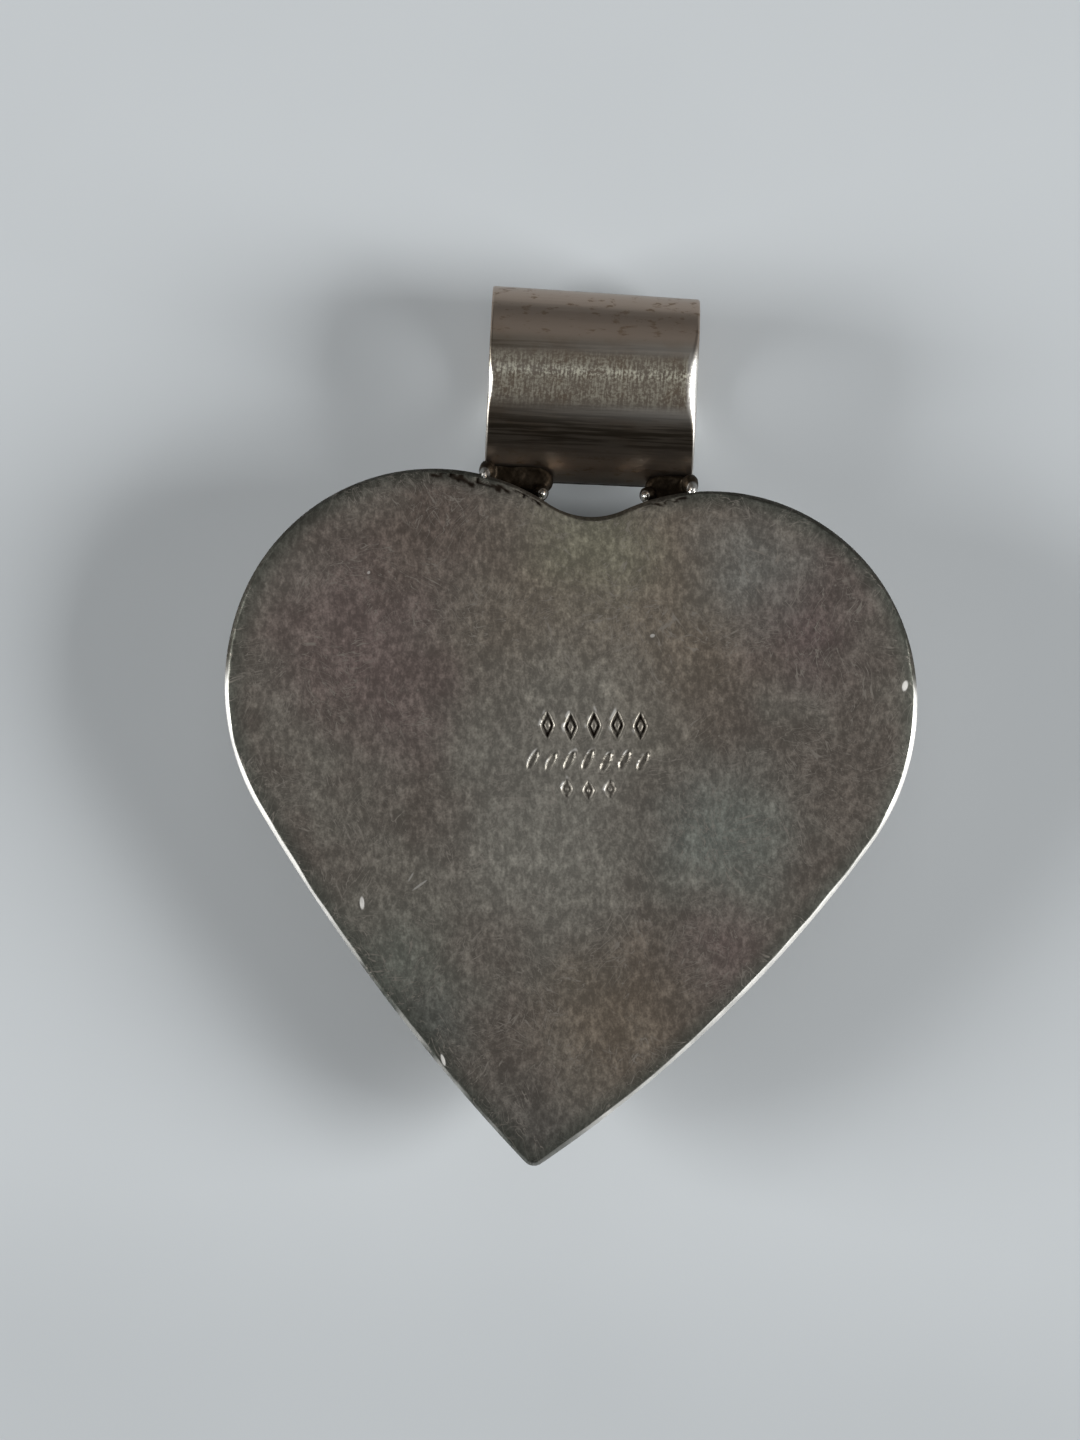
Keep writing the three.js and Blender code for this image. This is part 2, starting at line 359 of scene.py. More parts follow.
class ShaderSheet(NodeSheet):
    """A material whose nodes are laid out in code, on Object coordinates in millimetres."""

    def __init__(self, name: str) -> None:
        """Starts an empty material.

        Args:
            name: Name of the material.
        """
        self.material = bpy.data.materials.new(name)
        self.material.use_nodes = True
        super().__init__(self.material.node_tree)
        place = self.node("ShaderNodeTexCoord", {}).outputs["Object"]
        self.place = self.vector("MULTIPLY", place, (1 / MM, 1 / MM, 1 / MM))

    def length(self, value: Value) -> Socket:
        """Gives a vector's length."""
        return self.node("ShaderNodeVectorMath", {0: value}, operation="LENGTH").outputs["Value"]

    def noise(self, scale: float, detail: float, rough: float, place: Value | None = None) -> Socket:
        """Adds a cloudy noise.

        Args:
            scale: Features per millimetre.
            detail: Number of finer layers.
            rough: Share of the finer layers.
            place: Coordinates in millimetres, or None for the sheet's own.

        Returns:
            The noise, around 0.5.
        """
        inputs = {"Vector": self.place if place is None else place, "Scale": scale, "Detail": detail}
        return self.node("ShaderNodeTexNoise", {**inputs, "Roughness": rough}).outputs[0]

    def cells(self, scale: float) -> bpy.types.Node:
        """Adds scattered cells, whose Distance is measured from each cell's middle."""
        return self.node("ShaderNodeTexVoronoi", {"Vector": self.place, "Scale": scale})

    def turned(self, angle: float, scale: tuple[float, float, float], place: Value | None = None) -> Socket:
        """Turns coordinates about the upright axis, then stretches them.

        Args:
            angle: Turn, in radians.
            scale: Stretch along each axis.
            place: Coordinates in millimetres, or None for the sheet's own.

        Returns:
            The new coordinates.
        """
        source = self.place if place is None else place
        turn = self.node("ShaderNodeMapping", {"Vector": source, "Rotation": (0.0, 0.0, angle)})
        return self.vector("MULTIPLY", turn.outputs[0], scale)

    def mix(self, share: Value, first: Value, second: Value, blend: str = "MIX") -> Socket:
        """Blends two colours.

        Args:
            share: Share of the second colour.
            first: The colour below.
            second: The colour above.
            blend: How the second is laid over the first.

        Returns:
            The blended colour.
        """
        settings = {"data_type": "RGBA", "blend_type": blend}
        return self.node("ShaderNodeMix", {0: share, 6: first, 7: second}, **settings).outputs[2]

    def painted(self, name: str) -> Socket:
        """Reads a value that is kept with the piece's vertices."""
        return self.node("ShaderNodeAttribute", {}, attribute_name=name).outputs["Fac"]

    def spot(self, centre: Point, radius: float, soft: float, warp: Value) -> Socket:
        """Marks a round patch on the face, seen from above, with a ragged edge.

        Args:
            centre: Middle of the patch, in the heart's own millimetres.
            radius: Radius of the patch.
            soft: Width over which it fades out.
            warp: Vector that ruffles the patch's edge.

        Returns:
            The share, 1 in the patch and 0 outside.
        """
        middle = (centre[0], centre[1] + ROW_LIFT, 0.0)
        away = self.vector("SUBTRACT", self.vector("ADD", self.place, warp), middle)
        flat = self.vector("MULTIPLY", away, (1.0, 1.0, 0.0))
        return self.ease(self.length(flat), radius + soft, radius - soft)

    def ruffle(self, scale: float, reach: float) -> Socket:
        """Gives a cloudy vector that shifts coordinates by up to a reach."""
        cloud = self.node("ShaderNodeTexNoise", {"Vector": self.place, "Scale": scale, "Detail": 3.0})
        centred = self.vector("SUBTRACT", cloud.outputs["Color"], (0.5, 0.5, 0.5))
        return self.vector("MULTIPLY", centred, (2 * reach, 2 * reach, 2 * reach))

    def hairlines(self, run: Scratches) -> Socket:
        """Draws fine broken scratches that run one way.

        Args:
            run: The scratches.

        Returns:
            The share, 1 on a scratch.
        """
        angle, width, reach, share = run.angle, run.width, run.reach, run.share
        bent = self.vector("ADD", self.place, self.ruffle(0.18, 1.3))
        stretched = self.turned(-angle, (1 / reach, 1 / width, 1 / width), bent)
        drift = self.math("ABSOLUTE", self.math("SUBTRACT", self.noise(1.0, 1.0, 0.5, stretched), 0.5))
        line = self.ease(drift, share, share * 0.25)
        elsewhere = self.vector("ADD", bent, (width * 37, reach, 3.0))
        gate = self.ease(self.noise(0.9 / reach, 2.0, 0.6, elsewhere), 0.5, 0.6)
        return self.times(line, gate)

    def scratches(self, runs: Sequence[Scratches]) -> Socket:
        """Lays several runs of hairlines over one another.

        Args:
            runs: The runs.

        Returns:
            The share, 1 on a scratch.
        """
        lines: Value = 0.0
        for run in runs:
            lines = self.math("MAXIMUM", lines, self.hairlines(run))
        return lines

    def bump(self, height: Value, depth: float) -> Socket:
        """Turns a height into a bumped normal, with its full depth in millimetres."""
        inputs = {"Strength": 1.0, "Distance": depth * MM, "Height": height}
        return self.node("ShaderNodeBump", inputs).outputs[0]

    def finish(self, inputs: dict[str, Value]) -> bpy.types.Material:
        """Closes the material with one Principled surface.

        Args:
            inputs: What the surface's inputs take.

        Returns:
            The material.
        """
        surface = self.node("ShaderNodeBsdfPrincipled", inputs)
        output = self.tree.nodes.new("ShaderNodeOutputMaterial")
        self.tree.links.new(surface.outputs[0], output.inputs[0])
        return self.material


@dataclass(frozen=True)
class Stain:
    """A patch of tinted tarnish on the back plate."""

    centre: Point
    radius: float
    soft: float
    colour: Colour
    strength: float


@dataclass(frozen=True)
class Nick:
    """A bright knock in the sheet, as an oval that leans."""

    centre: Point
    length: float
    width: float
    lean: float
    strength: float = 1.0


@dataclass(frozen=True)
class PlateFinish:
    """Tarnished sheet with short-stroke grain, scratches and stains, bare where rubbed; painted shade on its
    unrubbed rim, painted glints at its punches.
    """

    name: str = "tarnished_plate_silver"
    tarnish: Colour = srgb(125, 117, 109)
    pale_tarnish: Colour = srgb(136, 131, 122)
    rolled_edge_tone: Colour = srgb(89, 93, 86)
    bare: Colour = srgb(244, 242, 237)
    scratch: Colour = srgb(165, 158, 149)
    # colour of the blackening in pits and punch marks, and of the painted shade along the rim
    darkening: Colour = srgb(42, 35, 29)
    roughness: float = 0.46
    edge_share: float = 0.85
    darkest: float = 0.81
    palest: float = 1.51
    stroke_lean: float = math.radians(-8.0)
    strokes_per_mm: tuple[float, float, float] = (3.5, 2.2, 3.2)
    scratch_share: float = 0.7
    speck_share: float = 0.6
    grain_depth: float = 0.013
    stains: tuple[Stain, ...] = (
        Stain((-12.4, 2.2), 4.6, 3.6, srgb(133, 117, 113), 0.8),
        Stain((-9.5, -2.6), 2.6, 2.6, srgb(131, 116, 112), 0.6),
        Stain((12.9, 4.6), 3.0, 3.0, srgb(121, 106, 104), 0.8),
        Stain((15.2, 7.4), 2.2, 2.6, srgb(120, 109, 104), 0.6),
        Stain((2.0, 4.8), 7.5, 4.5, srgb(144, 132, 117), 0.7),
        Stain((0.6, 8.3), 3.0, 2.6, srgb(152, 150, 131), 0.7),
        Stain((9.2, -7.8), 3.2, 3.4, srgb(141, 147, 140), 0.8),
        Stain((-8.6, -17.0), 2.4, 3.2, srgb(128, 134, 125), 0.7),
        Stain((4.2, -19.0), 3.6, 3.6, srgb(138, 125, 110), 0.8),
        Stain((10.2, -14.6), 1.8, 2.2, srgb(128, 110, 107), 0.7),
        Stain((-6.6, -20.2), 1.8, 2.8, srgb(106, 110, 105), 0.8),
        Stain((-0.4, -26.2), 2.6, 3.4, srgb(110, 107, 102), 0.9),
        Stain((0.0, -2.0), 5.0, 4.0, srgb(149, 146, 137), 0.8),
        Stain((-1.2, -9.5), 4.5, 3.5, srgb(154, 151, 142), 0.9),
        Stain((-9.0, 8.2), 3.4, 3.0, srgb(120, 107, 99), 0.7),
        Stain((9.5, 7.4), 2.6, 2.6, srgb(144, 143, 137), 0.9),
    )
    nicks: tuple[Nick, ...] = (
        Nick((-11.03, -13.42), 0.36, 0.13, math.radians(98)),
        Nick((-5.64, -22.06), 0.34, 0.1, math.radians(112)),
        Nick((19.15, 1.6), 0.3, 0.16, math.radians(80)),
        Nick((-7.78, -12.11), 0.5, 0.06, math.radians(40), 0.35),
        Nick((-8.35, -11.7), 0.3, 0.05, math.radians(64), 0.3),
        Nick((4.4, 3.3), 0.14, 0.1, math.radians(20), 0.5),
        Nick((-12.2, 5.6), 0.1, 0.08, math.radians(60), 0.5),
    )
    scratches: tuple[Scratches, ...] = (
        Scratches(0.3, 0.32, 3.4, 0.016),
        Scratches(1.15, 0.4, 4.6, 0.013),
        Scratches(2.1, 0.36, 3.0, 0.015),
        Scratches(2.75, 0.3, 5.2, 0.012),
    )

    def stained(self, sheet: ShaderSheet) -> Socket:
        """Lays the stains over the base tarnish.

        Args:
            sheet: The material in the making.

        Returns:
            The tarnish's colour.
        """
        cloud = sheet.ease(sheet.noise(0.16, 3.0, 0.55), 0.38, 0.62)
        colour = sheet.mix(cloud, self.tarnish, self.pale_tarnish)
        warp = sheet.ruffle(0.35, 1.6)
        for stain in self.stains:
            share = sheet.spot(stain.centre, stain.radius, stain.soft, warp)
            colour = sheet.mix(sheet.times(share, stain.strength), colour, stain.colour)
        return colour

    def knocks(self, sheet: ShaderSheet) -> Socket:
        """Marks the nicks.

        Args:
            sheet: The material in the making.

        Returns:
            The share, 1 in a nick.
        """
        found: Value = 0.0
        for nick in self.nicks:
            middle = (nick.centre[0], nick.centre[1] + ROW_LIFT, 0.0)
            away = sheet.vector("SUBTRACT", sheet.place, middle)
            oval = sheet.turned(-nick.lean, (1 / nick.length, 1 / nick.width, 0.0), away)
            mark = sheet.ease(sheet.length(oval), 1.25, 0.75, 0.0, nick.strength)
            found = sheet.math("MAXIMUM", found, mark)
        return found

    def mottled(self, sheet: ShaderSheet) -> Socket:
        """Gives the sheet's grain: short upright strokes, with finer grain and coarser patches.

        Args:
            sheet: The material in the making.

        Returns:
            The grain, around 0.5.
        """
        strokes = sheet.noise(1.0, 3.0, 0.58, sheet.turned(self.stroke_lean, self.strokes_per_mm))
        strokes = sheet.times(strokes, 0.56)
        grain = sheet.times(sheet.noise(8.0, 2.0, 0.6), 0.2)
        patches = sheet.times(sheet.noise(0.8, 2.0, 0.5), 0.24)
        return sheet.total(strokes, grain, patches)

    def specks(self, sheet: ShaderSheet) -> Socket:
        """Scatters small pale specks.

        Args:
            sheet: The material in the making.

        Returns:
            The share, 1 in a speck.
        """
        dots = sheet.cells(1.15)
        chosen = sheet.ease(sheet.split(dots.outputs["Color"])[0], 0.78, 0.84)
        return sheet.times(sheet.ease(dots.outputs["Distance"], 0.1, 0.05), chosen)

    def material(self) -> bpy.types.Material:
        """Builds the finish.

        Returns:
            The material.
        """
        sheet = ShaderSheet(self.name)
        colour = self.stained(sheet)
        # a darker, greener tone over the rolled edge, with less of it beside the cleft
        colour = sheet.mix(sheet.times(sheet.painted("edge"), self.edge_share), colour, self.rolled_edge_tone)
        mottle = self.mottled(sheet)
        tone = sheet.ease(mottle, 0.36, 0.8, self.darkest, self.palest)
        shade = sheet.math("POWER", tone, SCREEN_GAMMA)
        colour = sheet.mix(1.0, colour, sheet.triple(shade, shade, shade), "MULTIPLY")
        lines = sheet.scratches(self.scratches)
        colour = sheet.mix(sheet.times(lines, self.scratch_share), colour, self.scratch)
        colour = sheet.mix(sheet.times(self.specks(sheet), self.speck_share), colour, self.scratch)
        # bare metal where the rim is rubbed or the sheet knocked, and painted highlights beside the punch
        # marks
        bare = sheet.math("MAXIMUM", sheet.painted("bare_and_glint"), self.knocks(sheet))
        colour = sheet.mix(bare, colour, self.bare)
        # blackening in pits and punch marks, and painted shade on the unrubbed bevel and the upper left roll
        darkening = sheet.painted("grime_and_edge_shade")
        colour = sheet.mix(darkening, colour, self.darkening)
        rough = sheet.ease(mottle, 0.3, 0.7, self.roughness + 0.07, self.roughness - 0.07)
        rough = sheet.total(rough, sheet.times(bare, 0.1), sheet.times(darkening, 0.3))
        height = sheet.total(mottle, sheet.times(lines, -0.05), sheet.times(bare, -0.3))
        normal = sheet.bump(height, self.grain_depth)
        return sheet.finish({"Base Color": colour, "Metallic": 1.0, "Roughness": rough, "Normal": normal})


@dataclass(frozen=True)
class ShellFinish:
    """Polished sheet, still bright in the cleft and browned towards its rim, with scratches from handling."""

    name: str = "polished_shell_silver"
    polished: Colour = srgb(190, 185, 177)
    bright: Colour = srgb(242, 240, 235)
    tarnish: Colour = srgb(84, 77, 68)
    roughness: float = 0.2
    rim_share: float = 0.92
    cloud_share: float = 0.35
    grain_depth: float = 0.0025
    cleft: Point = (0.0, 11.5)
    cleft_radius: float = 6.0
    scratches: tuple[Scratches, ...] = (
        Scratches(0.7, 0.4, 5.0, 0.012),
        Scratches(1.9, 0.5, 4.0, 0.01),
        Scratches(2.7, 0.36, 6.0, 0.012),
    )

    def material(self) -> bpy.types.Material:
        """Builds the finish.

        Returns:
            The material.
        """
        sheet = ShaderSheet(self.name)
        cloud = sheet.ease(sheet.noise(0.22, 4.0, 0.6), 0.42, 0.66)
        cleft = sheet.spot(self.cleft, self.cleft_radius, 2.5, sheet.ruffle(0.35, 1.0))
        rim = sheet.ease(sheet.split(sheet.place)[2], 1.5, 4.5)
        cover = sheet.math("MAXIMUM", sheet.times(cloud, self.cloud_share), sheet.times(rim, self.rim_share))
        cover = sheet.times(cover, sheet.ease(cleft, 0.0, 1.0, 1.0, 0.15))
        colour = sheet.mix(cleft, self.polished, self.bright)
        colour = sheet.mix(cover, colour, self.tarnish)
        grain = sheet.noise(4.0, 3.0, 0.6)
        gloss = sheet.ease(grain, 0.3, 0.7, self.roughness - 0.06, self.roughness + 0.06)
        rough = sheet.total(sheet.times(cover, 0.22), gloss)
        height = sheet.total(grain, sheet.times(sheet.scratches(self.scratches), -0.8))
        normal = sheet.bump(height, self.grain_depth)
        return sheet.finish({"Base Color": colour, "Metallic": 1.0, "Roughness": rough, "Normal": normal})


@dataclass(frozen=True)
class StrapFinish:
    """Bent strip with brown tarnish, frosted by rubbing along its crest, with painted shade in streaks below
    it and painted light in bands.
    """

    name: str = "worn_strap_silver"
    tarnish: Colour = srgb(133, 123, 111)
    brown: Colour = srgb(113, 90, 66)
    frost: Colour = srgb(222, 219, 200)
    # colour of the painted shade below the crest and along a thin line above it
    painted_shade: Colour = srgb(76, 68, 57)
    bare: Colour = srgb(240, 238, 232)
    # colour of the painted light in bands on the strap's back
    pale: Colour = srgb(172, 155, 141)
    polished: Colour = srgb(240, 238, 233)
    roughness: float = 0.38
    grain_depth: float = 0.02

    def material(self) -> bpy.types.Material:
        """Builds the finish.

        Returns:
            The material.
        """
        sheet = ShaderSheet(self.name)
        cloud = sheet.ease(sheet.noise(0.5, 4.0, 0.6), 0.45, 0.7)
        colour = sheet.mix(sheet.times(cloud, 0.4), self.tarnish, self.brown)
        crest = sheet.painted("frost")
        speckle = sheet.noise(5.5, 3.0, 0.7)
        upright = sheet.noise(1.0, 2.0, 0.6, sheet.turned(0.0, (7.5, 1.1, 1.1)))
        rubbed = sheet.total(sheet.times(speckle, 0.55), sheet.times(upright, 0.45))
        frosted = sheet.times(crest, sheet.ease(rubbed, 0.43, 0.61))
        colour = sheet.mix(frosted, colour, self.frost)
        front = sheet.painted("front")
        colour = sheet.mix(sheet.times(front, 0.9), colour, self.polished)
        # painted shade: darkens the strap below its crest and along a thin line above it, in streaks
        low = sheet.painted("shade")
        along = sheet.noise(1.0, 3.0, 0.6, sheet.turned(math.radians(-2.1), (0.22, 5.0, 5.0)))
        shade_streaks = sheet.times(low, sheet.ease(along, 0.4, 0.6, 0.35, 1.0))
        colour = sheet.mix(shade_streaks, colour, self.painted_shade)
        # painted light: paler bands at the top and foot of the strap's back stand for reflections; the brown
        # spots in them are tarnish
        pale = sheet.painted("pale")
        spots = sheet.ease(sheet.noise(1.1, 4.0, 0.65, sheet.turned(0.0, (1.0, 2.6, 1.0))), 0.56, 0.66)
        colour = sheet.mix(sheet.times(pale, 0.85), colour, self.pale)
        colour = sheet.mix(sheet.times(sheet.times(pale, spots), 0.8), colour, self.brown)
        bare = sheet.painted("bare_and_glint")
        colour = sheet.mix(bare, colour, self.bare)
        rough = sheet.total(self.roughness, sheet.times(frosted, 0.12), sheet.times(bare, -0.08))
        rough = sheet.math("SUBTRACT", rough, sheet.times(front, 0.14))
        height = sheet.total(sheet.times(rubbed, crest), sheet.times(along, 0.5))
        normal = sheet.bump(height, self.grain_depth)
        return sheet.finish({"Base Color": colour, "Metallic": 1.0, "Roughness": rough, "Normal": normal})


@dataclass(frozen=True)
class SolderFinish:
    """Run solder, dark brown and pitted, partly painted shade, with bright painted highlights on its rounded
    ends.
    """

    name: str = "dark_solder_and_shade"
    # dark brown, partly the solder's own tarnish and partly painted shade of the hollow between bail and
    # plate
    brown: Colour = srgb(40, 33, 25)
    grey: Colour = srgb(58, 50, 41)
    bright: Colour = srgb(244, 242, 236)
    roughness: float = 0.6
    grain_depth: float = 0.03

    def material(self) -> bpy.types.Material:
        """Builds the finish.

        Returns:
            The material.
        """
        sheet = ShaderSheet(self.name)
        cloud = sheet.ease(sheet.noise(1.6, 4.0, 0.65), 0.42, 0.66)
        colour = sheet.mix(cloud, self.brown, self.grey)
        # painted highlight on the bead ends, and a little bare metal on the seams
        bare = sheet.painted("bare_and_glint")
        colour = sheet.mix(bare, colour, self.bright)
        grain = sheet.noise(6.0, 3.0, 0.65)
        rough = sheet.ease(grain, 0.3, 0.7, self.roughness - 0.1, self.roughness + 0.1)
        rough = sheet.math("SUBTRACT", rough, sheet.times(bare, 0.4))
        normal = sheet.bump(grain, self.grain_depth)
        return sheet.finish({"Base Color": colour, "Metallic": 1.0, "Roughness": rough, "Normal": normal})


@dataclass(frozen=True)
class FloorFinish:
    """Pale matt board with a faint tooth, greyer towards its near side as painted shade."""

    name: str = "pale_board"
    colour: Colour = srgb(200, 205, 208)
    shade: Colour = srgb(189, 194, 197)
    near_side: Point = (-24.0, -41.0)
    roughness: float = 0.85
    tooth_depth: float = 0.004

    def material(self) -> bpy.types.Material:
        """Builds the finish.

        Returns:
            The material.
        """
        sheet = ShaderSheet(self.name)
        cloud = sheet.times(sheet.ease(sheet.noise(0.05, 3.0, 0.5), 0.35, 0.65), 0.12)
        # painted shade: greyer towards the near side
        near = sheet.ease(sheet.split(sheet.place)[1], *self.near_side, 0.0, 0.9)
        colour = sheet.mix(sheet.total(cloud, near), self.colour, self.shade)
        normal = sheet.bump(sheet.noise(1.5, 3.0, 0.6), self.tooth_depth)
        return sheet.finish({"Base Color": colour, "Roughness": self.roughness, "Normal": normal})


@dataclass(frozen=True)
class FlankArcs:
    """The lower arcs of one side, drawn on the right."""

    hip_centre: Point
    hip_end: float
    flank_centre: Point
    flank_radius: float


@dataclass(frozen=True)
class HeartOutline:
    """The heart's outline as arcs, clockwise from the left end of its cleft, in millimetres."""

    lobe_radius: float = 11.93
    lobe_spread: float = 8.02
    cleft_radius: float = 4.5
    hip_start: float = math.radians(13.7)
    hip_radius: float = 13.84
    right_hip_sweep: float = math.radians(45.1)
    left_hip_sweep: float = math.radians(48.9)
    tip_reach: float = 27.97
    tip_radius: float = 0.73
    sharpest_tip: float = 0.035
    cleft_steps: int = 40
    lobe_steps: int = 120
    hip_steps: int = 30
    flank_steps: int = 44
    tip_steps: int = 20

    @property
    def cleft_centre(self) -> Point:
        """Middle of the arc that hollows the cleft."""
        return (0.0, math.sqrt((self.lobe_radius + self.cleft_radius) ** 2 - self.lobe_spread**2))

    @property
    def lobe_bearing(self) -> float:
        """Direction from the cleft's middle to the right lobe's centre."""
        return bearing(self.cleft_centre, (self.lobe_spread, 0.0))

    def flank(self, hip_sweep: float) -> FlankArcs:
        """Works out the hip and flank of one side.

        Args:
            hip_sweep: How far round the hip's arc runs, in radians.

        Returns:
            The side's lower arcs.
        """
        pull = self.lobe_radius - self.hip_radius
        hip_centre = (self.lobe_spread + math.cos(self.hip_start) * pull, math.sin(self.hip_start) * pull)
        end = self.hip_start - hip_sweep
        outward = np.array([math.cos(end), math.sin(end)])
        start = np.array(hip_centre) + outward * self.hip_radius
        to_tip = np.array([0.0, -self.tip_reach]) - start
        radius = float(-(to_tip @ to_tip) / (2 * (to_tip @ outward)))
        centre = start - outward * radius
        return FlankArcs(hip_centre, end, (float(centre[0]), float(centre[1])), radius)

    def tip_centre(self, left: FlankArcs, right: FlankArcs, inset: float) -> Point:
        """Finds the middle of the arc that rounds the tip.

        Args:
            left: Lower arcs of the left side, drawn on the right.
            right: Lower arcs of the right side.
            inset: How far the outline is drawn in.

        Returns:
            The tip arc's middle.
        """
        rounding = self.tip_round(inset)
        first = np.array([-left.flank_centre[0], left.flank_centre[1]])
        second = np.array(right.flank_centre)
        first_radius = left.flank_radius - inset - rounding
        second_radius = right.flank_radius - inset - rounding
        way = second - first
        distance = float(np.hypot(*way))
        along = (first_radius**2 - second_radius**2 + distance**2) / (2 * distance)
        aside = math.sqrt(first_radius**2 - along**2)
        way = way / distance
        found = first + way * along + np.array([-way[1], way[0]]) * aside
        return (float(found[0]), float(found[1]))

    def tip_round(self, inset: float) -> float:
        """Radius of the tip's arc at an inset."""
        return max(self.tip_radius - inset, self.sharpest_tip)

    def side(self, arcs: FlankArcs, inset: float, tip_centre: Point) -> np.ndarray:
        """Lays points down one side, drawn on the right, from the cleft's arc to the tip's.

        Args:
            arcs: The side's lower arcs.
            inset: How far the outline is drawn in.
            tip_centre: Middle of the tip's arc.

        Returns:
            The points.
        """
        lobe_start = self.lobe_bearing + math.pi
        flank_end = bearing(arcs.flank_centre, tip_centre)
        lobe = (self.lobe_spread, 0.0)
        return np.concatenate([
            arc(lobe, self.lobe_radius - inset, lobe_start, self.hip_start, self.lobe_steps),
            arc(arcs.hip_centre, self.hip_radius - inset, self.hip_start, arcs.hip_end, self.hip_steps)[1:],
            arc(arcs.flank_centre, arcs.flank_radius - inset, arcs.hip_end, flank_end, self.flank_steps)[1:],
        ])

    def points(self, inset: float = 0.0) -> np.ndarray:
        """Lays points round the whole outline, as many at any inset.

        Args:
            inset: How far the outline is drawn in.

        Returns:
            The points, clockwise.
        """
        left, right = self.flank(self.left_hip_sweep), self.flank(self.right_hip_sweep)
        tip = self.tip_centre(left, right, inset)
        flip = np.array([-1.0, 1.0])
        left_centre = (-left.flank_centre[0], left.flank_centre[1])
        right_side = self.side(right, inset, tip)
        left_side = (self.side(left, inset, (-tip[0], tip[1])) * flip)[::-1]
        cleft_radius = self.cleft_radius + inset
        cleft_ends = (-math.pi - self.lobe_bearing, self.lobe_bearing)
        tip_ends = (bearing(right.flank_centre, tip), bearing(left_centre, tip))
        return np.concatenate([
            arc(self.cleft_centre, cleft_radius, *cleft_ends, self.cleft_steps),
            right_side[1:],
            arc(tip, self.tip_round(inset), *tip_ends, self.tip_steps)[1:],
            left_side[1:-1],
        ])


class PunchShape(Enum):
    """Form of a punch's face."""

    LOZENGE = "lozenge"
    ROUND = "round"


@dataclass(frozen=True)
class PunchRow:
    """A row of equal ornamental punch marks."""

    shape: PunchShape
    centre: Point
    count: int
    pitch: float
    half_width: float
    half_height: float
    depth: float
    burr: float
    shine: float
    # how dark the blackening left in each struck mark is
    darkening: float
    hollow: float
    slant: float = 0.0
    heading: float = math.radians(4.67)
    # side of each mark that takes the painted highlight
    glint_side: float = math.radians(140)
    jitter: tuple[float, ...] = (0.04, -0.05, 0.02, 0.06, -0.03, 0.05, -0.04)

    def reach(self, points: np.ndarray, number: int) -> tuple[np.ndarray, np.ndarray]:
        """Measures points from one mark's middle, where 1 is the mark's edge.

        Args:
            points: Flat points.
            number: Which mark of the row.

        Returns:
            The distances, and how far each point lies on the side that glints, -1 to 1.
        """
        along = np.array([math.cos(self.heading), math.sin(self.heading)])
        across = np.array([-along[1], along[0]])
        offset = (number - (self.count - 1) / 2) * self.pitch
        slip = self.jitter[number % len(self.jitter)]
        middle = np.array(self.centre) + along * offset + across * slip
        away = (points - middle) @ np.stack([along, across], axis=1)
        turn_cos, turn_sin = math.cos(self.slant), math.sin(self.slant)
        u = (away[:, 0] * turn_cos - away[:, 1] * turn_sin) / self.half_width
        v = (away[:, 0] * turn_sin + away[:, 1] * turn_cos) / self.half_height
        side = (u * math.cos(self.glint_side) + v * math.sin(self.glint_side)) / (np.hypot(u, v) + 1e-6)
        if self.shape is PunchShape.LOZENGE:
            return (np.abs(u) ** 1.2 + np.abs(v) ** 1.2) ** (1 / 1.2), side
        return np.hypot(u, v), side

    def strike(self, points: np.ndarray, relief: "FaceRelief") -> None:
        """Sinks the row's marks into a face, and paints a glint beside each as a painted highlight.

        Args:
            points: The face's flat points.
            relief: The face's heights and paints, which are changed.
        """
        broken = ease(waves(points, 41, 6, 0.35, 0.9), -0.3, 0.7)
        for number in range(self.count):
            reach, side = self.reach(points, number)
            struck = ease(reach, 1.0, 0.72) * (1 - 0.85 * ease(reach, self.hollow, self.hollow - 0.3))
            relief.height -= self.depth * struck
            relief.height += self.burr * hump(reach, 1.2, 0.17)
            relief.grime_and_edge_shade = np.maximum(relief.grime_and_edge_shade, self.darkening * struck * (0.75 + 0.25 * broken))
            # painted highlight: a glint on one side of each mark, laid in with the bare metal
            glint = hump(reach, 1.2, 0.16) * ease(side, 0.1, 0.75) * broken
            relief.bare_and_glint = np.maximum(relief.bare_and_glint, self.shine * glint)


@dataclass(frozen=True)
class Crevice:
    """A ragged run of pits in the plate's face."""

    start: Point
    end: Point
    width: float

    def reach(self, points: np.ndarray) -> np.ndarray:
        """Measures points from the run, where 1 is its edge.

        Args:
            points: Flat points.

        Returns:
            The distances.
        """
        start, way = np.array(self.start), np.array(self.end) - np.array(self.start)
        share = np.clip((points - start) @ way / (way @ way), 0, 1)
        away = points - start - share[:, None] * way
        away[:, 1] += 0.1 * waves(points, 3, 5, 0.5, 1.6)
        ragged = self.width * (1 + 0.75 * waves(points, 17, 5, 0.35, 1.1))
        return np.hypot(away[:, 0], away[:, 1]) / np.maximum(ragged, 0.02)


@dataclass
class FaceRelief:
    """Heights and paints for the points of the back plate's face."""

    height: np.ndarray
    grime_and_edge_shade: np.ndarray
    bare_and_glint: np.ndarray
    edge: np.ndarray


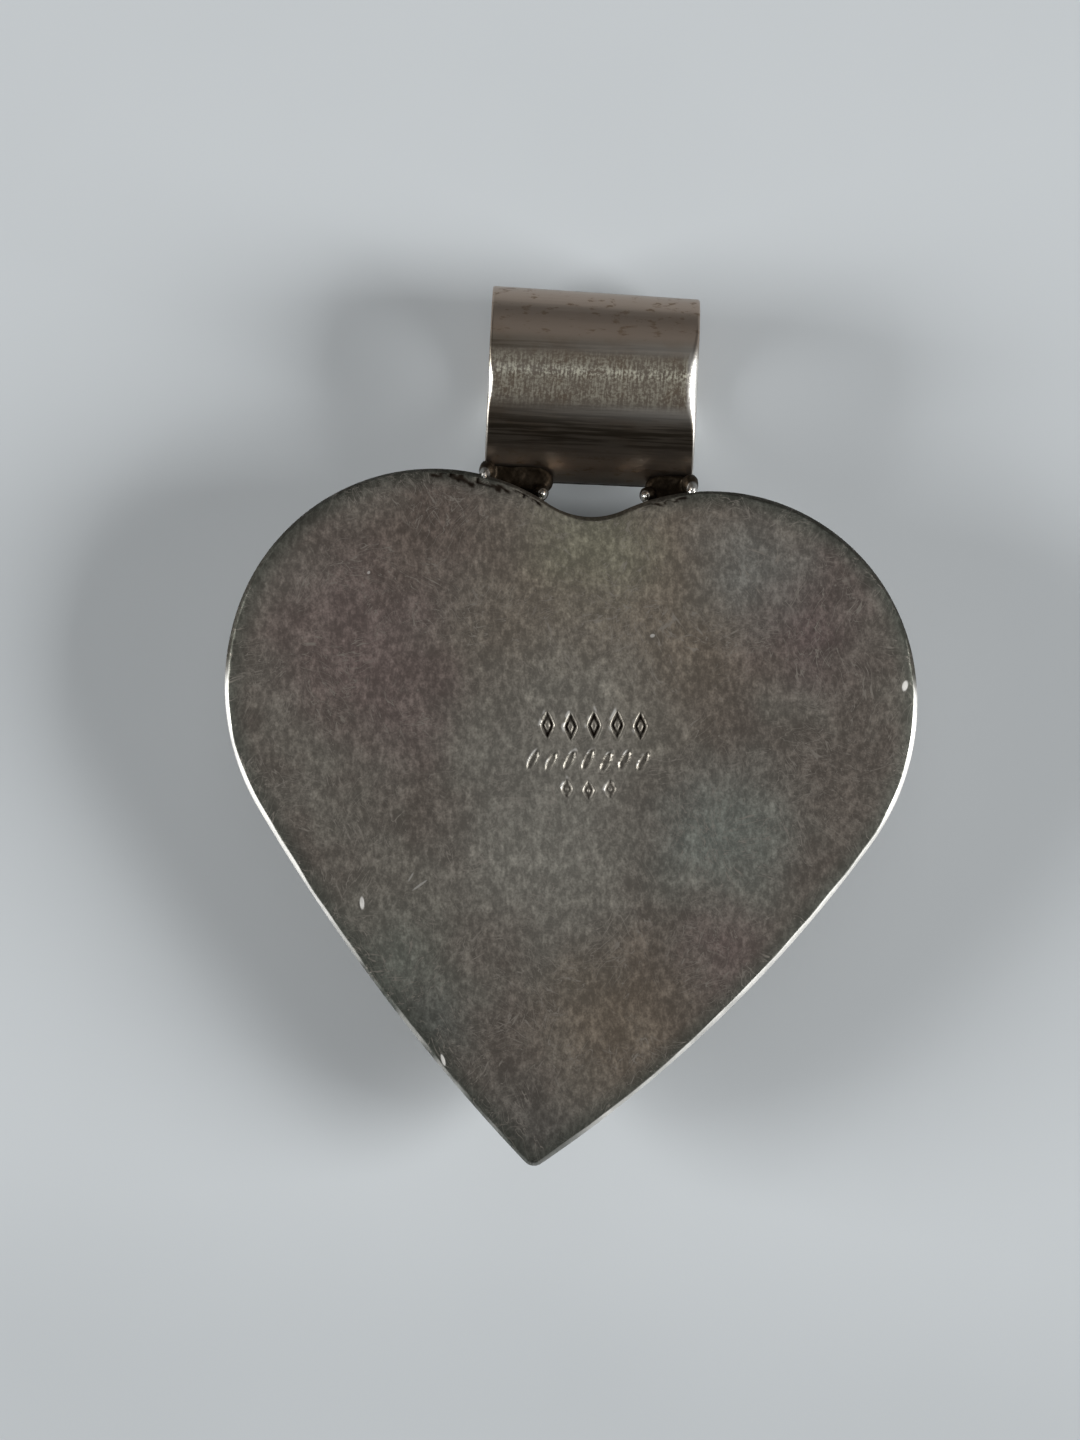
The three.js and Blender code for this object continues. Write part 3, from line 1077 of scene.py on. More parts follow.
@dataclass
class BackPlate:
    """Flat heart of sheet, its face rolled off to a filed bevel, pitted beside the bail and punched."""

    outline: HeartOutline
    finish: PlateFinish = field(default_factory=PlateFinish)
    middle: Point = (1.4, -3.9)
    fine_radius: float = 4.3
    fine_step: float = 0.062
    wide_rings: int = 44
    roll_width: float = 1.3
    roll_drop: float = 0.11
    bevel_width: float = 0.24
    bevel_drop: float = 0.3
    unevenness: float = 0.012
    # painted shade on the unrubbed bevel and on the upper left roll
    rim_shade: float = 0.6
    roll_shade: float = 0.32
    roll_insets: tuple[float, ...] = (1.3, 1.12, 0.95, 0.8, 0.66, 0.54, 0.44, 0.34, 0.26)
    bevel_shares: tuple[float, ...] = (0.94, 0.8, 0.62, 0.44, 0.26, 0.1, 0.03, 0.0)
    wall_levels: tuple[float, ...] = (7.52, 7.45, 7.25, 7.12, 7.1)
    punches: tuple[PunchRow, ...] = (
        PunchRow(PunchShape.LOZENGE, (1.46, -2.16), 5, 1.34, 0.4, 0.84, 0.14, 0.02, 0.8, 1.0, 0.56),
        PunchRow(PunchShape.ROUND, (1.27, -4.2), 7, 1.06, 0.2, 0.6, 0.08, 0.03, 1.0, 0.4, 0.0, 0.5),
        PunchRow(PunchShape.LOZENGE, (1.45, -5.85), 3, 1.25, 0.33, 0.56, 0.08, 0.03, 1.0, 0.7, 0.4),
    )
    pits: tuple[Crevice, ...] = (
        Crevice((-9.35, 11.5), (-8.8, 11.52), 0.1),
        Crevice((-8.6, 11.72), (-7.9, 11.68), 0.11),
        Crevice((-7.95, 11.62), (-7.05, 11.5), 0.17),
        Crevice((-7.35, 11.34), (-6.5, 11.26), 0.15),
        Crevice((-6.5, 11.28), (-5.6, 11.16), 0.11),
        Crevice((-5.6, 11.14), (-3.7, 10.84), 0.1),
        Crevice((-3.7, 10.84), (-2.7, 10.36), 0.12),
        Crevice((3.5, 10.75), (5.7, 11.4), 0.05),
    )
    pit_depth: float = 0.08
    left_rub: Point = (0.2, -2.0)
    right_rub: Point = (2.4, 0.8)
    left_break: Point = (-13.5, -17.5)
    right_break: Point = (-12.0, -18.0)
    right_broken: float = 0.2
    flank_bare: Point = (0.45, 0.85)
    dull_tip: Point = (-24.5, -26.5)
    tip_dulling: float = 0.75
    left_filed: Point = (0.98, 0.68)
    right_filed: Point = (1.0, 0.78)

    def flat_rings(self) -> list[np.ndarray]:
        """Lays the rings of the face from its middle out to where it rolls off.

        Returns:
            The flat rings.
        """
        inner = self.outline.points(self.roll_width)
        away = inner - np.array(self.middle)
        directions = away / np.linalg.norm(away, axis=1)[:, None]
        radii = np.arange(self.fine_step, self.fine_radius, self.fine_step)
        rings = [np.array(self.middle) + directions * radius for radius in radii]
        last = rings[-1]
        shares = np.linspace(0, 1, self.wide_rings + 1)[1:-1]
        return rings + [last + (inner - last) * share**1.12 for share in shares]

    def edge_rings(self) -> list[tuple[np.ndarray, float, float]]:
        """Lays the rings of the roll-off and the bevel.

        Returns:
            Each ring's points, its drop below the face, and its share of the way to the rim.
        """
        made = []
        for inset in self.roll_insets:
            share = (self.roll_width - inset) / (self.roll_width - self.bevel_width)
            made.append((self.outline.points(inset), self.roll_drop * share**2.2, share))
        rim, inner = self.outline.points(0.0), self.outline.points(self.bevel_width)
        wander = 1 + 0.22 * waves(rim, 5, 7, 2.5, 14.0)[:, None]
        for share in self.bevel_shares:
            flat = rim + (inner - rim) * share * wander
            fall = self.roll_drop + (self.bevel_drop - self.roll_drop + 0.1) * (1 - share) ** 1.5
            made.append((flat, fall, 1.0))
        return made

    def relief(self, points: np.ndarray) -> FaceRelief:
        """Works out the face's unevenness, pits and punch marks.

        Args:
            points: The face's flat points.

        Returns:
            The heights and paints.
        """
        count = len(points)
        made = FaceRelief(np.zeros(count), np.zeros(count), np.zeros(count), np.zeros(count))
        made.height += self.unevenness * (waves(points, 11, 9, 5.0, 13.0) * 0.5 - 1)
        for row in self.punches:
            row.strike(points, made)
        for pit in self.pits:
            reach = pit.reach(points)
            made.height -= self.pit_depth * ease(reach, 1.2, 0.4)
            made.grime_and_edge_shade = np.maximum(made.grime_and_edge_shade, ease(reach, 1.35, 0.8))
        return made

    def rubbed(self, points: np.ndarray) -> np.ndarray:
        """Says where the rim has been rubbed at all: below the lobes' tops, on the left a little lower.

        Args:
            points: The rim's flat points.

        Returns:
            The shares.
        """
        x, y = points[:, 0], points[:, 1]
        return np.where(x < 0, ease(y, *self.left_rub), ease(y, *self.right_rub))

    def rim_wear(self, points: np.ndarray) -> np.ndarray:
        """Says how bare the bevel is: bright where it is rubbed, broken down the flanks, duller at the tip.

        Args:
            points: The rim's flat points.

        Returns:
            The shares.
        """
        x, y = points[:, 0], points[:, 1]
        right = self.right_broken * ease(y, *self.right_break)
        flank = np.where(x < 0, ease(y, *self.left_break), right)
        broken = np.where(x < 0, *self.flank_bare) * ease(waves(points, 23, 9, 0.7, 4.0), -0.9, 0.5)
        tip = self.tip_dulling * ease(y, *self.dull_tip)
        return self.rubbed(points) * (1 - flank * (1 - broken)) * (1 - tip)

    def build(self) -> bpy.types.Object:
        """Builds the piece.

        Returns:
            The back plate.
        """
        flat = self.flat_rings()
        edges = self.edge_rings()
        top = np.concatenate([*flat, *(ring for ring, _, _ in edges)])
        count = len(flat[0])
        drops = np.concatenate([np.zeros(len(flat) * count), *(np.full(count, drop) for _, drop, _ in edges)])
        relief = self.relief(top)
        relief.edge[len(flat) * count:] = np.repeat([share for _, _, share in edges], count)
        relief.edge *= 1 - 0.75 * ease(np.abs(top[:, 0]), 6.5, 3.0) * ease(top[:, 1], 6.0, 8.5)
        bevel_start = (len(flat) + len(self.roll_insets)) * count
        bevel = top[bevel_start:]
        shares = np.repeat(self.bevel_shares, count)
        outer = np.where(bevel[:, 0] < 0, ease(shares, *self.left_filed), ease(shares, *self.right_filed))
        relief.bare_and_glint[bevel_start:] = self.rim_wear(bevel) * outer
        # painted shade: darker bevel where it is not rubbed, and darker roll at the upper left
        relief.grime_and_edge_shade[bevel_start:] = self.rim_shade * (1 - self.rubbed(bevel)) * outer
        unrubbed = (1 - self.rubbed(top)) * ease(top[:, 0], 0.0, -8.0) * ease(relief.edge, 0.3, 0.9)
        relief.grime_and_edge_shade = np.maximum(relief.grime_and_edge_shade, self.roll_shade * unrubbed)
        heights = FACE_LEVEL - drops + relief.height
        rings = [lifted(top, heights)[i:i + count] for i in range(0, len(top), count)]
        rim = self.outline.points(0.0)
        rings += [lifted(rim, level) for level in self.wall_levels]
        start = float(heights[:count].mean())
        poles = ((*self.middle, start), (*self.middle, SEAM_TOP))
        mesh = skin_rings("back_plate_sheet", rings, poles)
        rest = len(mesh.vertices) - len(top)
        wall = np.tile(self.rim_wear(rim) * 0.5, len(self.wall_levels))
        wall = np.concatenate([wall, np.zeros(rest - len(wall))])
        paint(mesh, "bare_and_glint", np.concatenate([relief.bare_and_glint, wall]))
        paint(mesh, "grime_and_edge_shade", np.concatenate([relief.grime_and_edge_shade, np.zeros(rest)]))
        paint(mesh, "edge", np.concatenate([relief.edge, np.ones(rest)]))
        return settle("back_plate_sheet", mesh, self.finish.material(), "back_plate")


@dataclass
class FrontShell:
    """Hollow domed front, raised from sheet, whose flat rim takes the back plate."""

    outline: HeartOutline
    finish: ShellFinish = field(default_factory=ShellFinish)
    wall: float = 0.8
    fullness: float = 2.8
    crown_radius: float = 15.0
    outer_rings: int = 54
    inner_rings: int = 22
    softening: float = 0.3
    vent_radius: float = 0.4
    vent_level: float = 4.88
    vent_drill: float = 3.2
    vent_steps: int = 28

    def softened(self, angles: np.ndarray, reaches: np.ndarray, spread: float) -> np.ndarray:
        """Evens out how far an outline reaches in each direction.

        Args:
            angles: Direction of each point.
            reaches: Reach of each point.
            spread: How far the evening looks to each side, in radians.

        Returns:
            The softened reaches.
        """
        if spread < 0.01:
            return reaches
        order = np.argsort(angles)
        steps = 720
        even = np.linspace(-math.pi, math.pi, steps, endpoint=False)
        level = np.interp(even, angles[order], reaches[order], period=2 * math.pi)
        offsets = np.arange(-steps // 2, steps // 2) * 2 * math.pi / steps
        window = np.exp(-((offsets / spread) ** 2) / 2)
        spectrum = np.fft.fft(level) * np.fft.fft(np.fft.ifftshift(window / window.sum()))
        return np.interp(angles, even, np.fft.ifft(spectrum).real, period=2 * math.pi)

    def dome(self, inset: float, height: float, count: int) -> list[np.ndarray]:
        """Lays the rings of a dome from beside its crown out to its rim.

        Args:
            inset: How far its rim is drawn in from the outline.
            height: Height of the dome.
            count: Number of rings.

        Returns:
            The rings.
        """
        away = self.outline.points(inset) - np.array(CROWN)
        reaches = np.linalg.norm(away, axis=1)
        directions = away / reaches[:, None]
        angles = np.arctan2(away[:, 1], away[:, 0])
        rings = []
        for number in range(1, count + 1):
            angle = number / count * math.pi / 2
            share = math.sin(angle) ** (2 / self.fullness)
            depth = 0.0 if number == count else math.cos(angle) ** (2 / self.fullness)
            even = self.softened(angles, reaches, self.softening * (1 - share))
            reach = (self.crown_radius + (even - self.crown_radius) * share) * share
            flat = np.array(CROWN) + directions * reach[:, None]
            rings.append(lifted(flat, DOME_HEIGHT - height * depth))
        return rings

    def vented(self, mesh: bpy.types.Mesh) -> bpy.types.Mesh:
        """Drills the vent through the wall in the cleft.

        Args:
            mesh: The closed shell.

        Returns:
            The drilled shell.
        """
        shell = add_object("shell_blank", mesh)
        floor = self.outline.cleft_centre[1] - self.outline.cleft_radius - self.wall / 2
        ends = (floor + self.vent_drill / 2, floor - self.vent_drill / 2)
        circle = arc((0.0, self.vent_level), self.vent_radius, 0.0, -2 * math.pi, self.vent_steps)[:-1]
        rings = [np.column_stack([circle[:, 0], np.full(len(circle), y), circle[:, 1]]) for y in ends]
        poles = ((0.0, ends[0], self.vent_level), (0.0, ends[1], self.vent_level))
        drill = add_object("vent_drill", skin_rings("vent_drill", rings, poles))
        cut = shell.modifiers.new("vent", "BOOLEAN")
        cut.operation = "DIFFERENCE"
        cut.solver = "EXACT"
        cut.object = drill
        made = evaluated_mesh(shell, "front_shell_dome")
        bpy.data.objects.remove(drill)
        return made

    def build(self) -> bpy.types.Object:
        """Builds the piece.

        Returns:
            The front shell.
        """
        outside = self.dome(0.0, DOME_HEIGHT, self.outer_rings)
        inside = self.dome(self.wall, DOME_HEIGHT - self.wall, self.inner_rings)[::-1]
        poles = ((*CROWN, 0.0), (*CROWN, self.wall))
        blank = skin_rings("shell_blank", [*outside, *inside], poles)
        mesh = self.vented(blank)
        return settle("front_shell_dome", mesh, self.finish.material(), "front_shell")


class GrowthTree(NodeSheet):
    """A geometry node tree with named inputs, which is grown once into a plain mesh."""

    def __init__(self, name: str, material: bpy.types.Material) -> None:
        """Starts an empty tree.

        Args:
            name: Name of the tree.
            material: What the result is made of.
        """
        super().__init__(bpy.data.node_groups.new(name, "GeometryNodeTree"))
        self.name = name
        self.material = material
        self.tree.interface.new_socket("Geometry", in_out="INPUT", socket_type="NodeSocketGeometry")
        self.tree.interface.new_socket("Geometry", in_out="OUTPUT", socket_type="NodeSocketGeometry")
        self.sizes: dict[str, float | int] = {}
        self.entry = self.tree.nodes.new("NodeGroupInput")

    def size(self, name: str, value: float | int) -> Socket:
        """Adds a named input, a whole number or a length, and gives its socket."""
        kind = "NodeSocketInt" if isinstance(value, int) else "NodeSocketFloat"
        self.tree.interface.new_socket(name, in_out="INPUT", socket_type=kind)
        self.sizes[name] = value
        return self.entry.outputs[name]

    def placed(self, geometry: Socket, **inputs: Value) -> Socket:
        """Moves, turns or stretches a geometry."""
        return self.node("GeometryNodeTransform", {"Geometry": geometry, **inputs}).outputs[0]

    def grow(self, geometry: Socket, seed_mesh: bpy.types.Mesh | None = None) -> bpy.types.Mesh:
        """Closes the tree, runs it and keeps the result.

        Args:
            geometry: The finished geometry.
            seed_mesh: Mesh that the tree starts from, or None for an empty one.

        Returns:
            The plain mesh.
        """
        real = self.node("GeometryNodeRealizeInstances", {0: geometry}).outputs[0]
        dressed = self.node("GeometryNodeSetMaterial", {"Geometry": real, "Material": self.material})
        self.node("NodeGroupOutput", {0: dressed.outputs[0]})
        carrier = add_object(self.name, seed_mesh or bpy.data.meshes.new(self.name))
        modifier = carrier.modifiers.new(self.name, "NODES")
        modifier.node_group = self.tree
        for item in self.tree.interface.items_tree:
            if item.in_out == "INPUT" and item.name in self.sizes:
                modifier[item.identifier] = self.sizes[item.name]
        return evaluated_mesh(carrier, self.name)


@dataclass
class RimSeam:
    """Thin run of solder between the shell's rim and the back plate."""

    outline: HeartOutline
    finish: SolderFinish = field(default_factory=SolderFinish)
    width: float = 0.46
    overlap: float = 0.012
    unevenness: float = 0.05
    rounding: float = 0.04
    lumps_per_metre: float = 900.0

    def build(self) -> bpy.types.Object:
        """Sweeps a flat bead along the outline.

        Returns:
            The seam.
        """
        path = self.outline.points(self.width / 2)
        level = (DOME_HEIGHT + SEAM_TOP) / 2
        line = bpy.data.meshes.new("seam_line")
        count = len(path)
        spans = [(number, (number + 1) % count) for number in range(count)]
        line.from_pydata(to_row(lifted(path, level)).tolist(), spans, [])
        material = self.finish.material()
        tree = GrowthTree("rim_seam_bead", material)
        width = tree.size("Bead width", self.width * MM)
        height = tree.size("Bead height", (SEAM_TOP - DOME_HEIGHT + 2 * self.overlap) * MM)
        rounding = tree.size("Bead rounding", self.rounding * MM)
        wander = tree.size("Unevenness", self.unevenness * MM)
        grain = tree.size("Lumps per metre", self.lumps_per_metre)
        curve = tree.node("GeometryNodeMeshToCurve", {0: tree.entry.outputs[0]}).outputs[0]
        profile = tree.node("GeometryNodeCurvePrimitiveQuadrilateral", {"Width": width, "Height": height})
        filed = tree.node("GeometryNodeFilletCurve", {"Curve": profile.outputs[0], "Radius": rounding})
        poly_fillet(filed, 3)
        bead = tree.node("GeometryNodeCurveToMesh", {"Curve": curve, "Profile Curve": filed.outputs[0]})
        cloud = tree.node("ShaderNodeTexNoise", {"Scale": grain, "Detail": 2.0}).outputs[0]
        shift = tree.times(tree.math("SUBTRACT", cloud, 0.5), wander)
        facing = tree.node("GeometryNodeInputNormal", {}).outputs[0]
        flat = tree.vector("MULTIPLY", facing, (1.0, 1.0, 0.0))
        push = tree.node("ShaderNodeVectorMath", {0: flat, "Scale": shift}, operation="SCALE").outputs[0]
        lumpy = tree.node("GeometryNodeSetPosition", {"Geometry": bead.outputs[0], "Offset": push}).outputs[0]
        mesh = tree.grow(lumpy, line)
        point_outwards(mesh)
        paint(mesh, "bare_and_glint", np.full(len(mesh.vertices), 0.12))
        return settle("rim_seam_bead", mesh, material, "rim_solder_seam")


def poly_fillet(node: bpy.types.Node, count: int) -> None:
    """Sets a fillet node to straight spans, with a number of them in each corner."""
    if hasattr(node, "mode"):
        node.mode = "POLY"
    else:
        node.inputs["Mode"].default_value = "Poly"
    node.inputs["Count"].default_value = count


@dataclass(frozen=True)
class Crest:
    """A stretch of one outer corner that is filed wide, placed up from the oval's middle."""

    place: float
    reach: float
    breadth: float
    depth: float


@dataclass(frozen=True)
class Band:
    """A stretch over which a mark grows to its full share."""

    start: float
    full: float
    share: float = 1.0

    def at(self, places: np.ndarray) -> np.ndarray:
        """Gives the mark's share at each place."""
        return self.share * ease(places, self.start, self.full)


@dataclass(frozen=True)
class StrapWearAndPaintedLight:
    """Where the strap is frosted and rubbed bare, and where it carries painted shade and painted light, from
    its oval's middle or in from its ends.
    """

    frost_line: float = 0.7
    frost_reach: float = 0.5
    frost_above: Band = Band(2.2, 1.2, 0.45)
    frost_below: Band = Band(-1.8, -0.6, 0.45)
    # painted shade: a thin dark line above the crest, and streaks below it
    dark_line: float = 2.1
    dark_line_reach: float = 0.3
    dark_line_share: float = 0.75
    shade_streaks: Band = Band(-0.6, -2.7)
    shade_streaks_thin: Band = Band(-3.1, -4.4, 0.75)
    # painted light: paler bands at the top edge, just below it, and at the foot
    pale_top: Band = Band(4.3, 4.65)
    painted_light_top: Band = Band(2.4, 3.0, 0.62)
    painted_light_foot: Band = Band(-3.2, -4.6, 0.55)
    front: Band = Band(0.4, -1.6)
    front_foot: Band = Band(0.5, -2.0)
    right_bare: Band = Band(0.7, 0.4)
    right_bare_middle: float = 0.2
    right_bare_reach: float = 1.9
    right_line: Band = Band(2.0, 0.0, 0.75)
    left_bare: Band = Band(0.36, 0.12)
    left_bare_middle: float = -0.1
    left_bare_reach: float = 0.85
    left_line: Band = Band(1.2, 0.2, 0.3)
    line_inset: Band = Band(0.16, 0.04)

    def bare(self, left_inset: np.ndarray, right_inset: np.ndarray, y: np.ndarray) -> np.ndarray:
        """Says how bare the filed corners are.

        Args:
            left_inset: How far each point lies in from the strap's left end.
            right_inset: The same from its right end.
            y: How far up the oval each point lies.

        Returns:
            The shares.
        """
        right = self.right_bare.at(right_inset) * hump(y, self.right_bare_middle, self.right_bare_reach, 4)
        left = self.left_bare.at(left_inset) * hump(y, self.left_bare_middle, self.left_bare_reach, 4)
        right_line = self.line_inset.at(right_inset) * self.right_line.at(y)
        left_line = self.line_inset.at(left_inset) * self.left_line.at(y)
        return np.maximum.reduce([right, right_line, left, left_line])

    def put_on(self, mesh: bpy.types.Mesh, local: np.ndarray, outer: np.ndarray, width: float) -> None:
        """Paints the frost, the rubbed bare corners, and the painted shade and painted light on the strap.

        Args:
            mesh: The strap's mesh.
            local: Its points, measured in the upright oval.
            outer: Which of them lie on the strip's outer face.
            width: Width of the strap.
        """
        x, y, z = local.T
        back = outer * ease(z, 0.0, 0.6)
        rubbed = np.where(y > 0, self.frost_above.at(y), self.frost_below.at(y))
        paint(mesh, "frost", back * np.maximum(hump(y, self.frost_line, self.frost_reach), rubbed))
        # painted shade
        line = self.dark_line_share * hump(y, self.dark_line, self.dark_line_reach)
        shade_streaks = self.shade_streaks.at(y) * (1 - self.shade_streaks_thin.at(y))
        paint(mesh, "shade", back * np.maximum(line, shade_streaks))
        # painted light
        painted_light_bands = np.maximum(self.painted_light_top.at(y), self.painted_light_foot.at(y))
        paint(mesh, "pale", back * np.maximum(self.pale_top.at(y), painted_light_bands))
        paint(mesh, "front", self.front.at(z) * self.front_foot.at(y))
        paint(mesh, "bare_and_glint", back * self.bare(width / 2 + x, width / 2 - x, y))


@dataclass
class BailStrap:
    """Wide flat strip bent into an oval whose two ends meet beside the heart."""

    finish: StrapFinish = field(default_factory=StrapFinish)
    width: float = 12.1
    thickness: float = 1.1
    edge_round: float = 0.32
    end_round: float = 0.16
    right_crest: Crest = Crest(0.3, 1.9, 0.95, 0.6)
    left_crest: Crest = Crest(-0.2, 1.0, 0.42, 0.42)
    wear_and_painted_light: StrapWearAndPaintedLight = field(default_factory=StrapWearAndPaintedLight)
    skew: float = 0.022
    length: float = 11.17
    depth: float = 8.0
    turn: float = math.radians(2.1)
    foot: float = 11.9
    joint_gap: float = 0.25
    stations: int = 200
    corner_spans: int = 8

    @property
    def joint_half_angle(self) -> float:
        """Half the angle that the joint's cut takes up."""
        return self.joint_gap / (self.depth - self.thickness)

    def placement(self) -> Matrix:
        """Gives where the upright oval is set, in the heart's own millimetres."""
        seat = Matrix.Translation((0.0, self.foot, 0.0)) @ Matrix.Rotation(self.turn, 4, "Z")
        return seat @ Matrix.Translation((0.0, self.length / 2, self.depth / 2))

    def local(self, points: np.ndarray) -> np.ndarray:
        """Measures points in the upright oval: across the strap, up, and towards the back.

        Args:
            points: Points in the heart's own millimetres.

        Returns:
            The points as the oval has them.
        """
        matrix = np.array(self.placement().inverted())
        return points @ matrix[:3, :3].T + matrix[:3, 3]

    def grown(self, material: bpy.types.Material) -> bpy.types.Mesh:
        """Bends the strip by sweeping its rounded section along an open oval.

        Args:
            material: What the strap is made of.

        Returns:
            The strap's mesh.
        """
        tree = GrowthTree("bail_strap_band", material)
        width = tree.size("Strap width", self.width * MM)
        thickness = tree.size("Strap thickness", self.thickness * MM)
        rounding = tree.size("Edge rounding", self.edge_round * MM)
        length = tree.size("Oval length", self.length * MM)
        depth = tree.size("Oval depth", self.depth * MM)
        gap = tree.size("Joint half angle", self.joint_half_angle)
        turn = tree.size("Turn", self.turn)
        foot = tree.size("Foot", (self.foot + ROW_LIFT) * MM)
        stations = tree.size("Stations", self.stations)
        start = tree.math("ADD", gap, -math.pi)
        sweep = tree.math("SUBTRACT", 2 * math.pi, tree.times(gap, 2.0))
        arc_inputs = {"Resolution": stations, "Start Angle": start, "Sweep Angle": sweep, "Radius": 0.5}
        circle = tree.node("GeometryNodeCurveArc", arc_inputs, mode="RADIUS").outputs[0]
        long = tree.math("SUBTRACT", length, thickness)
        across = tree.math("SUBTRACT", depth, thickness)
        oval = tree.placed(circle, Scale=tree.triple(long, across, 1.0))
        flat = tree.node("GeometryNodeCurvePrimitiveQuadrilateral", {"Width": thickness, "Height": width})
        section = tree.node("GeometryNodeFilletCurve", {"Curve": flat.outputs[0], "Radius": rounding})
        poly_fillet(section, self.corner_spans)
        sweep_inputs = {"Curve": oval, "Profile Curve": section.outputs[0], "Fill Caps": True}
        band = tree.node("GeometryNodeCurveToMesh", sweep_inputs).outputs[0]
        upright = tree.placed(band, Rotation=(math.pi / 2, 0.0, math.pi / 2))
        rise = tree.times(length, 0.5)
        lift = tree.times(depth, 0.5)
        raised = tree.placed(upright, Translation=tree.triple(0.0, rise, lift))
        turned = tree.placed(raised, Rotation=tree.triple(0.0, 0.0, turn))
        seated = tree.placed(turned, Translation=tree.triple(0.0, foot, 0.0))
        return tree.grow(seated)

    def filed(self, mesh: bpy.types.Mesh) -> None:
        """Files the strip's outer corners, widely over its crest and hardly at its top, and paints its rubbed
        places and painted light and shade.

        Args:
            mesh: The swept strap, one ring of section points for each station.
        """
        count = len(mesh.vertices) // self.stations
        local = self.local(corner_points(mesh)).reshape(self.stations, count, 3)
        middle = local.mean(1)
        long, across = (self.length - self.thickness) / 2, (self.depth - self.thickness) / 2
        outward = np.stack([middle[:, 1] / long**2, middle[:, 2] / across**2], axis=1)
        outward /= np.linalg.norm(outward, axis=1)[:, None]
        u = local[:, :, 0]
        v = np.einsum("sck,sk->sc", local[:, :, 1:] - middle[:, None, 1:], outward)
        side, face = np.sign(u), np.sign(v)
        bend_x = (u - side * (self.width / 2 - self.edge_round)) / self.edge_round
        bend_y = (v - face * (self.thickness / 2 - self.edge_round)) / self.edge_round
        back = ease(middle[:, 2], -1.0, 1.0)
        broad = np.full(u.shape, self.end_round)
        deep = np.full(u.shape, self.end_round)
        for sign, crest in ((1, self.right_crest), (-1, self.left_crest)):
            filed = (hump(middle[:, 1], crest.place, crest.reach) * back)[:, None] * (side == sign)
            broad += (crest.breadth - self.end_round) * filed
            deep += (crest.depth - self.end_round) * filed
        broad = np.where(face > 0, broad, self.edge_round)
        deep = np.where(face > 0, deep, self.edge_round)
        u = side * (self.width / 2 - broad) + bend_x * broad
        v = face * (self.thickness / 2 - deep) + bend_y * deep
        made = np.empty_like(local)
        made[:, :, 0] = u
        made[:, :, 1:] = middle[:, None, 1:] + v[:, :, None] * outward[:, None, :]
        self.wear_and_painted_light.put_on(mesh, made.reshape(-1, 3), (v > 0).ravel(), self.width)
        made[:, :, 1] -= self.skew * u * ease(made[:, :, 1], 0.0, self.length / 2)
        matrix = np.array(self.placement())
        points = made.reshape(-1, 3) @ matrix[:3, :3].T + matrix[:3, 3]
        move_corners(mesh, points)

    def build(self) -> bpy.types.Object:
        """Builds the piece.

        Returns:
            The strap.
        """
        material = self.finish.material()
        mesh = self.grown(material)
        point_outwards(mesh)
        self.filed(mesh)
        return settle("bail_strap_band", mesh, material, "bail_strap")


@dataclass
class BailJoint:
    """Solder that fills the cut between the strip's two ends, standing a hair proud of them."""

    strap: BailStrap
    finish: SolderFinish = field(default_factory=SolderFinish)
    overlap: float = 0.04
    proud: float = 0.05
    end_inset: float = 0.04
    end_round: float = 0.3
    squareness: float = 0.45
    spans_across: int = 90
    spans_round: int = 12

    def build(self) -> bpy.types.Object:
        """Builds the piece.

        Returns:
            The joint's solder.
        """
        strap = self.strap
        middle_radius = (strap.length - strap.thickness) / 2
        half_gap = strap.joint_gap / 2 + self.overlap
        half_thick = strap.thickness / 2 + self.proud
        angles = np.linspace(0, 2 * math.pi, 4 * self.spans_round, endpoint=False)
        cosines, sines = np.cos(angles), np.sin(angles)
        gap_side = np.sign(cosines) * np.abs(cosines) ** self.squareness * half_gap
        thick_side = np.sign(sines) * np.abs(sines) ** self.squareness * half_thick
        matrix = np.array(strap.placement())
        rings = []
        for x in np.linspace(-1, 1, self.spans_across) * (strap.width / 2 - self.end_inset):
            end = 1 - 0.5 * max(0.0, (abs(x) - strap.width / 2 + self.end_round) / self.end_round) ** 2
            lumps = np.array([noise.noise(Vector((x * 2.1, g * 6, t))) for g, t in zip(gap_side, thick_side)])
            up = -(middle_radius + thick_side * end * (1 + 0.03 * lumps))
            back = gap_side * end * (1 + 0.5 * lumps)
            rings.append(np.column_stack([np.full(len(angles), x), up, back]))
        rings = [ring @ matrix[:3, :3].T + matrix[:3, 3] for ring in rings]
        poles = (tuple(rings[0].mean(0)), tuple(rings[-1].mean(0)))
        mesh = skin_rings("bail_joint_bead", rings, poles)
        paint(mesh, "bare_and_glint", np.full(len(mesh.vertices), 0.1))
        return settle("bail_joint_bead", mesh, self.finish.material(), "bail_joint_solder")


@dataclass(frozen=True)
class Bead:
    """A rounded blob of run solder, with its share of painted highlight."""

    centre: tuple[float, float, float]
    radii: tuple[float, float, float]
    bright: float


# painted highlights: beads with a bright share stand for the glints at the solder's ends
LEFT_BEADS = (
    Bead((-6.04, 11.52, 7.6), (0.25, 0.24, 0.28), 1.0),
    Bead((-6.06, 11.8, 6.85), (0.28, 0.36, 1.0), 0.3),
    Bead((-5.9, 12.1, 6.2), (0.5, 0.6, 0.7), 0.0),
    Bead((-2.56, 10.98, 7.0), (0.22, 0.26, 0.45), 1.0),
    Bead((-2.72, 11.05, 6.4), (0.5, 0.5, 0.75), 0.0),
)
RIGHT_BEADS = (
    Bead((3.32, 11.32, 7.0), (0.22, 0.26, 0.45), 1.0),
    Bead((3.5, 11.42, 6.4), (0.5, 0.5, 0.75), 0.0),
    Bead((6.03, 11.74, 7.45), (0.27, 0.25, 0.3), 1.0),
    Bead((6.05, 11.95, 6.8), (0.28, 0.36, 0.95), 0.3),
    Bead((5.9, 12.25, 6.2), (0.5, 0.6, 0.7), 0.0),
)


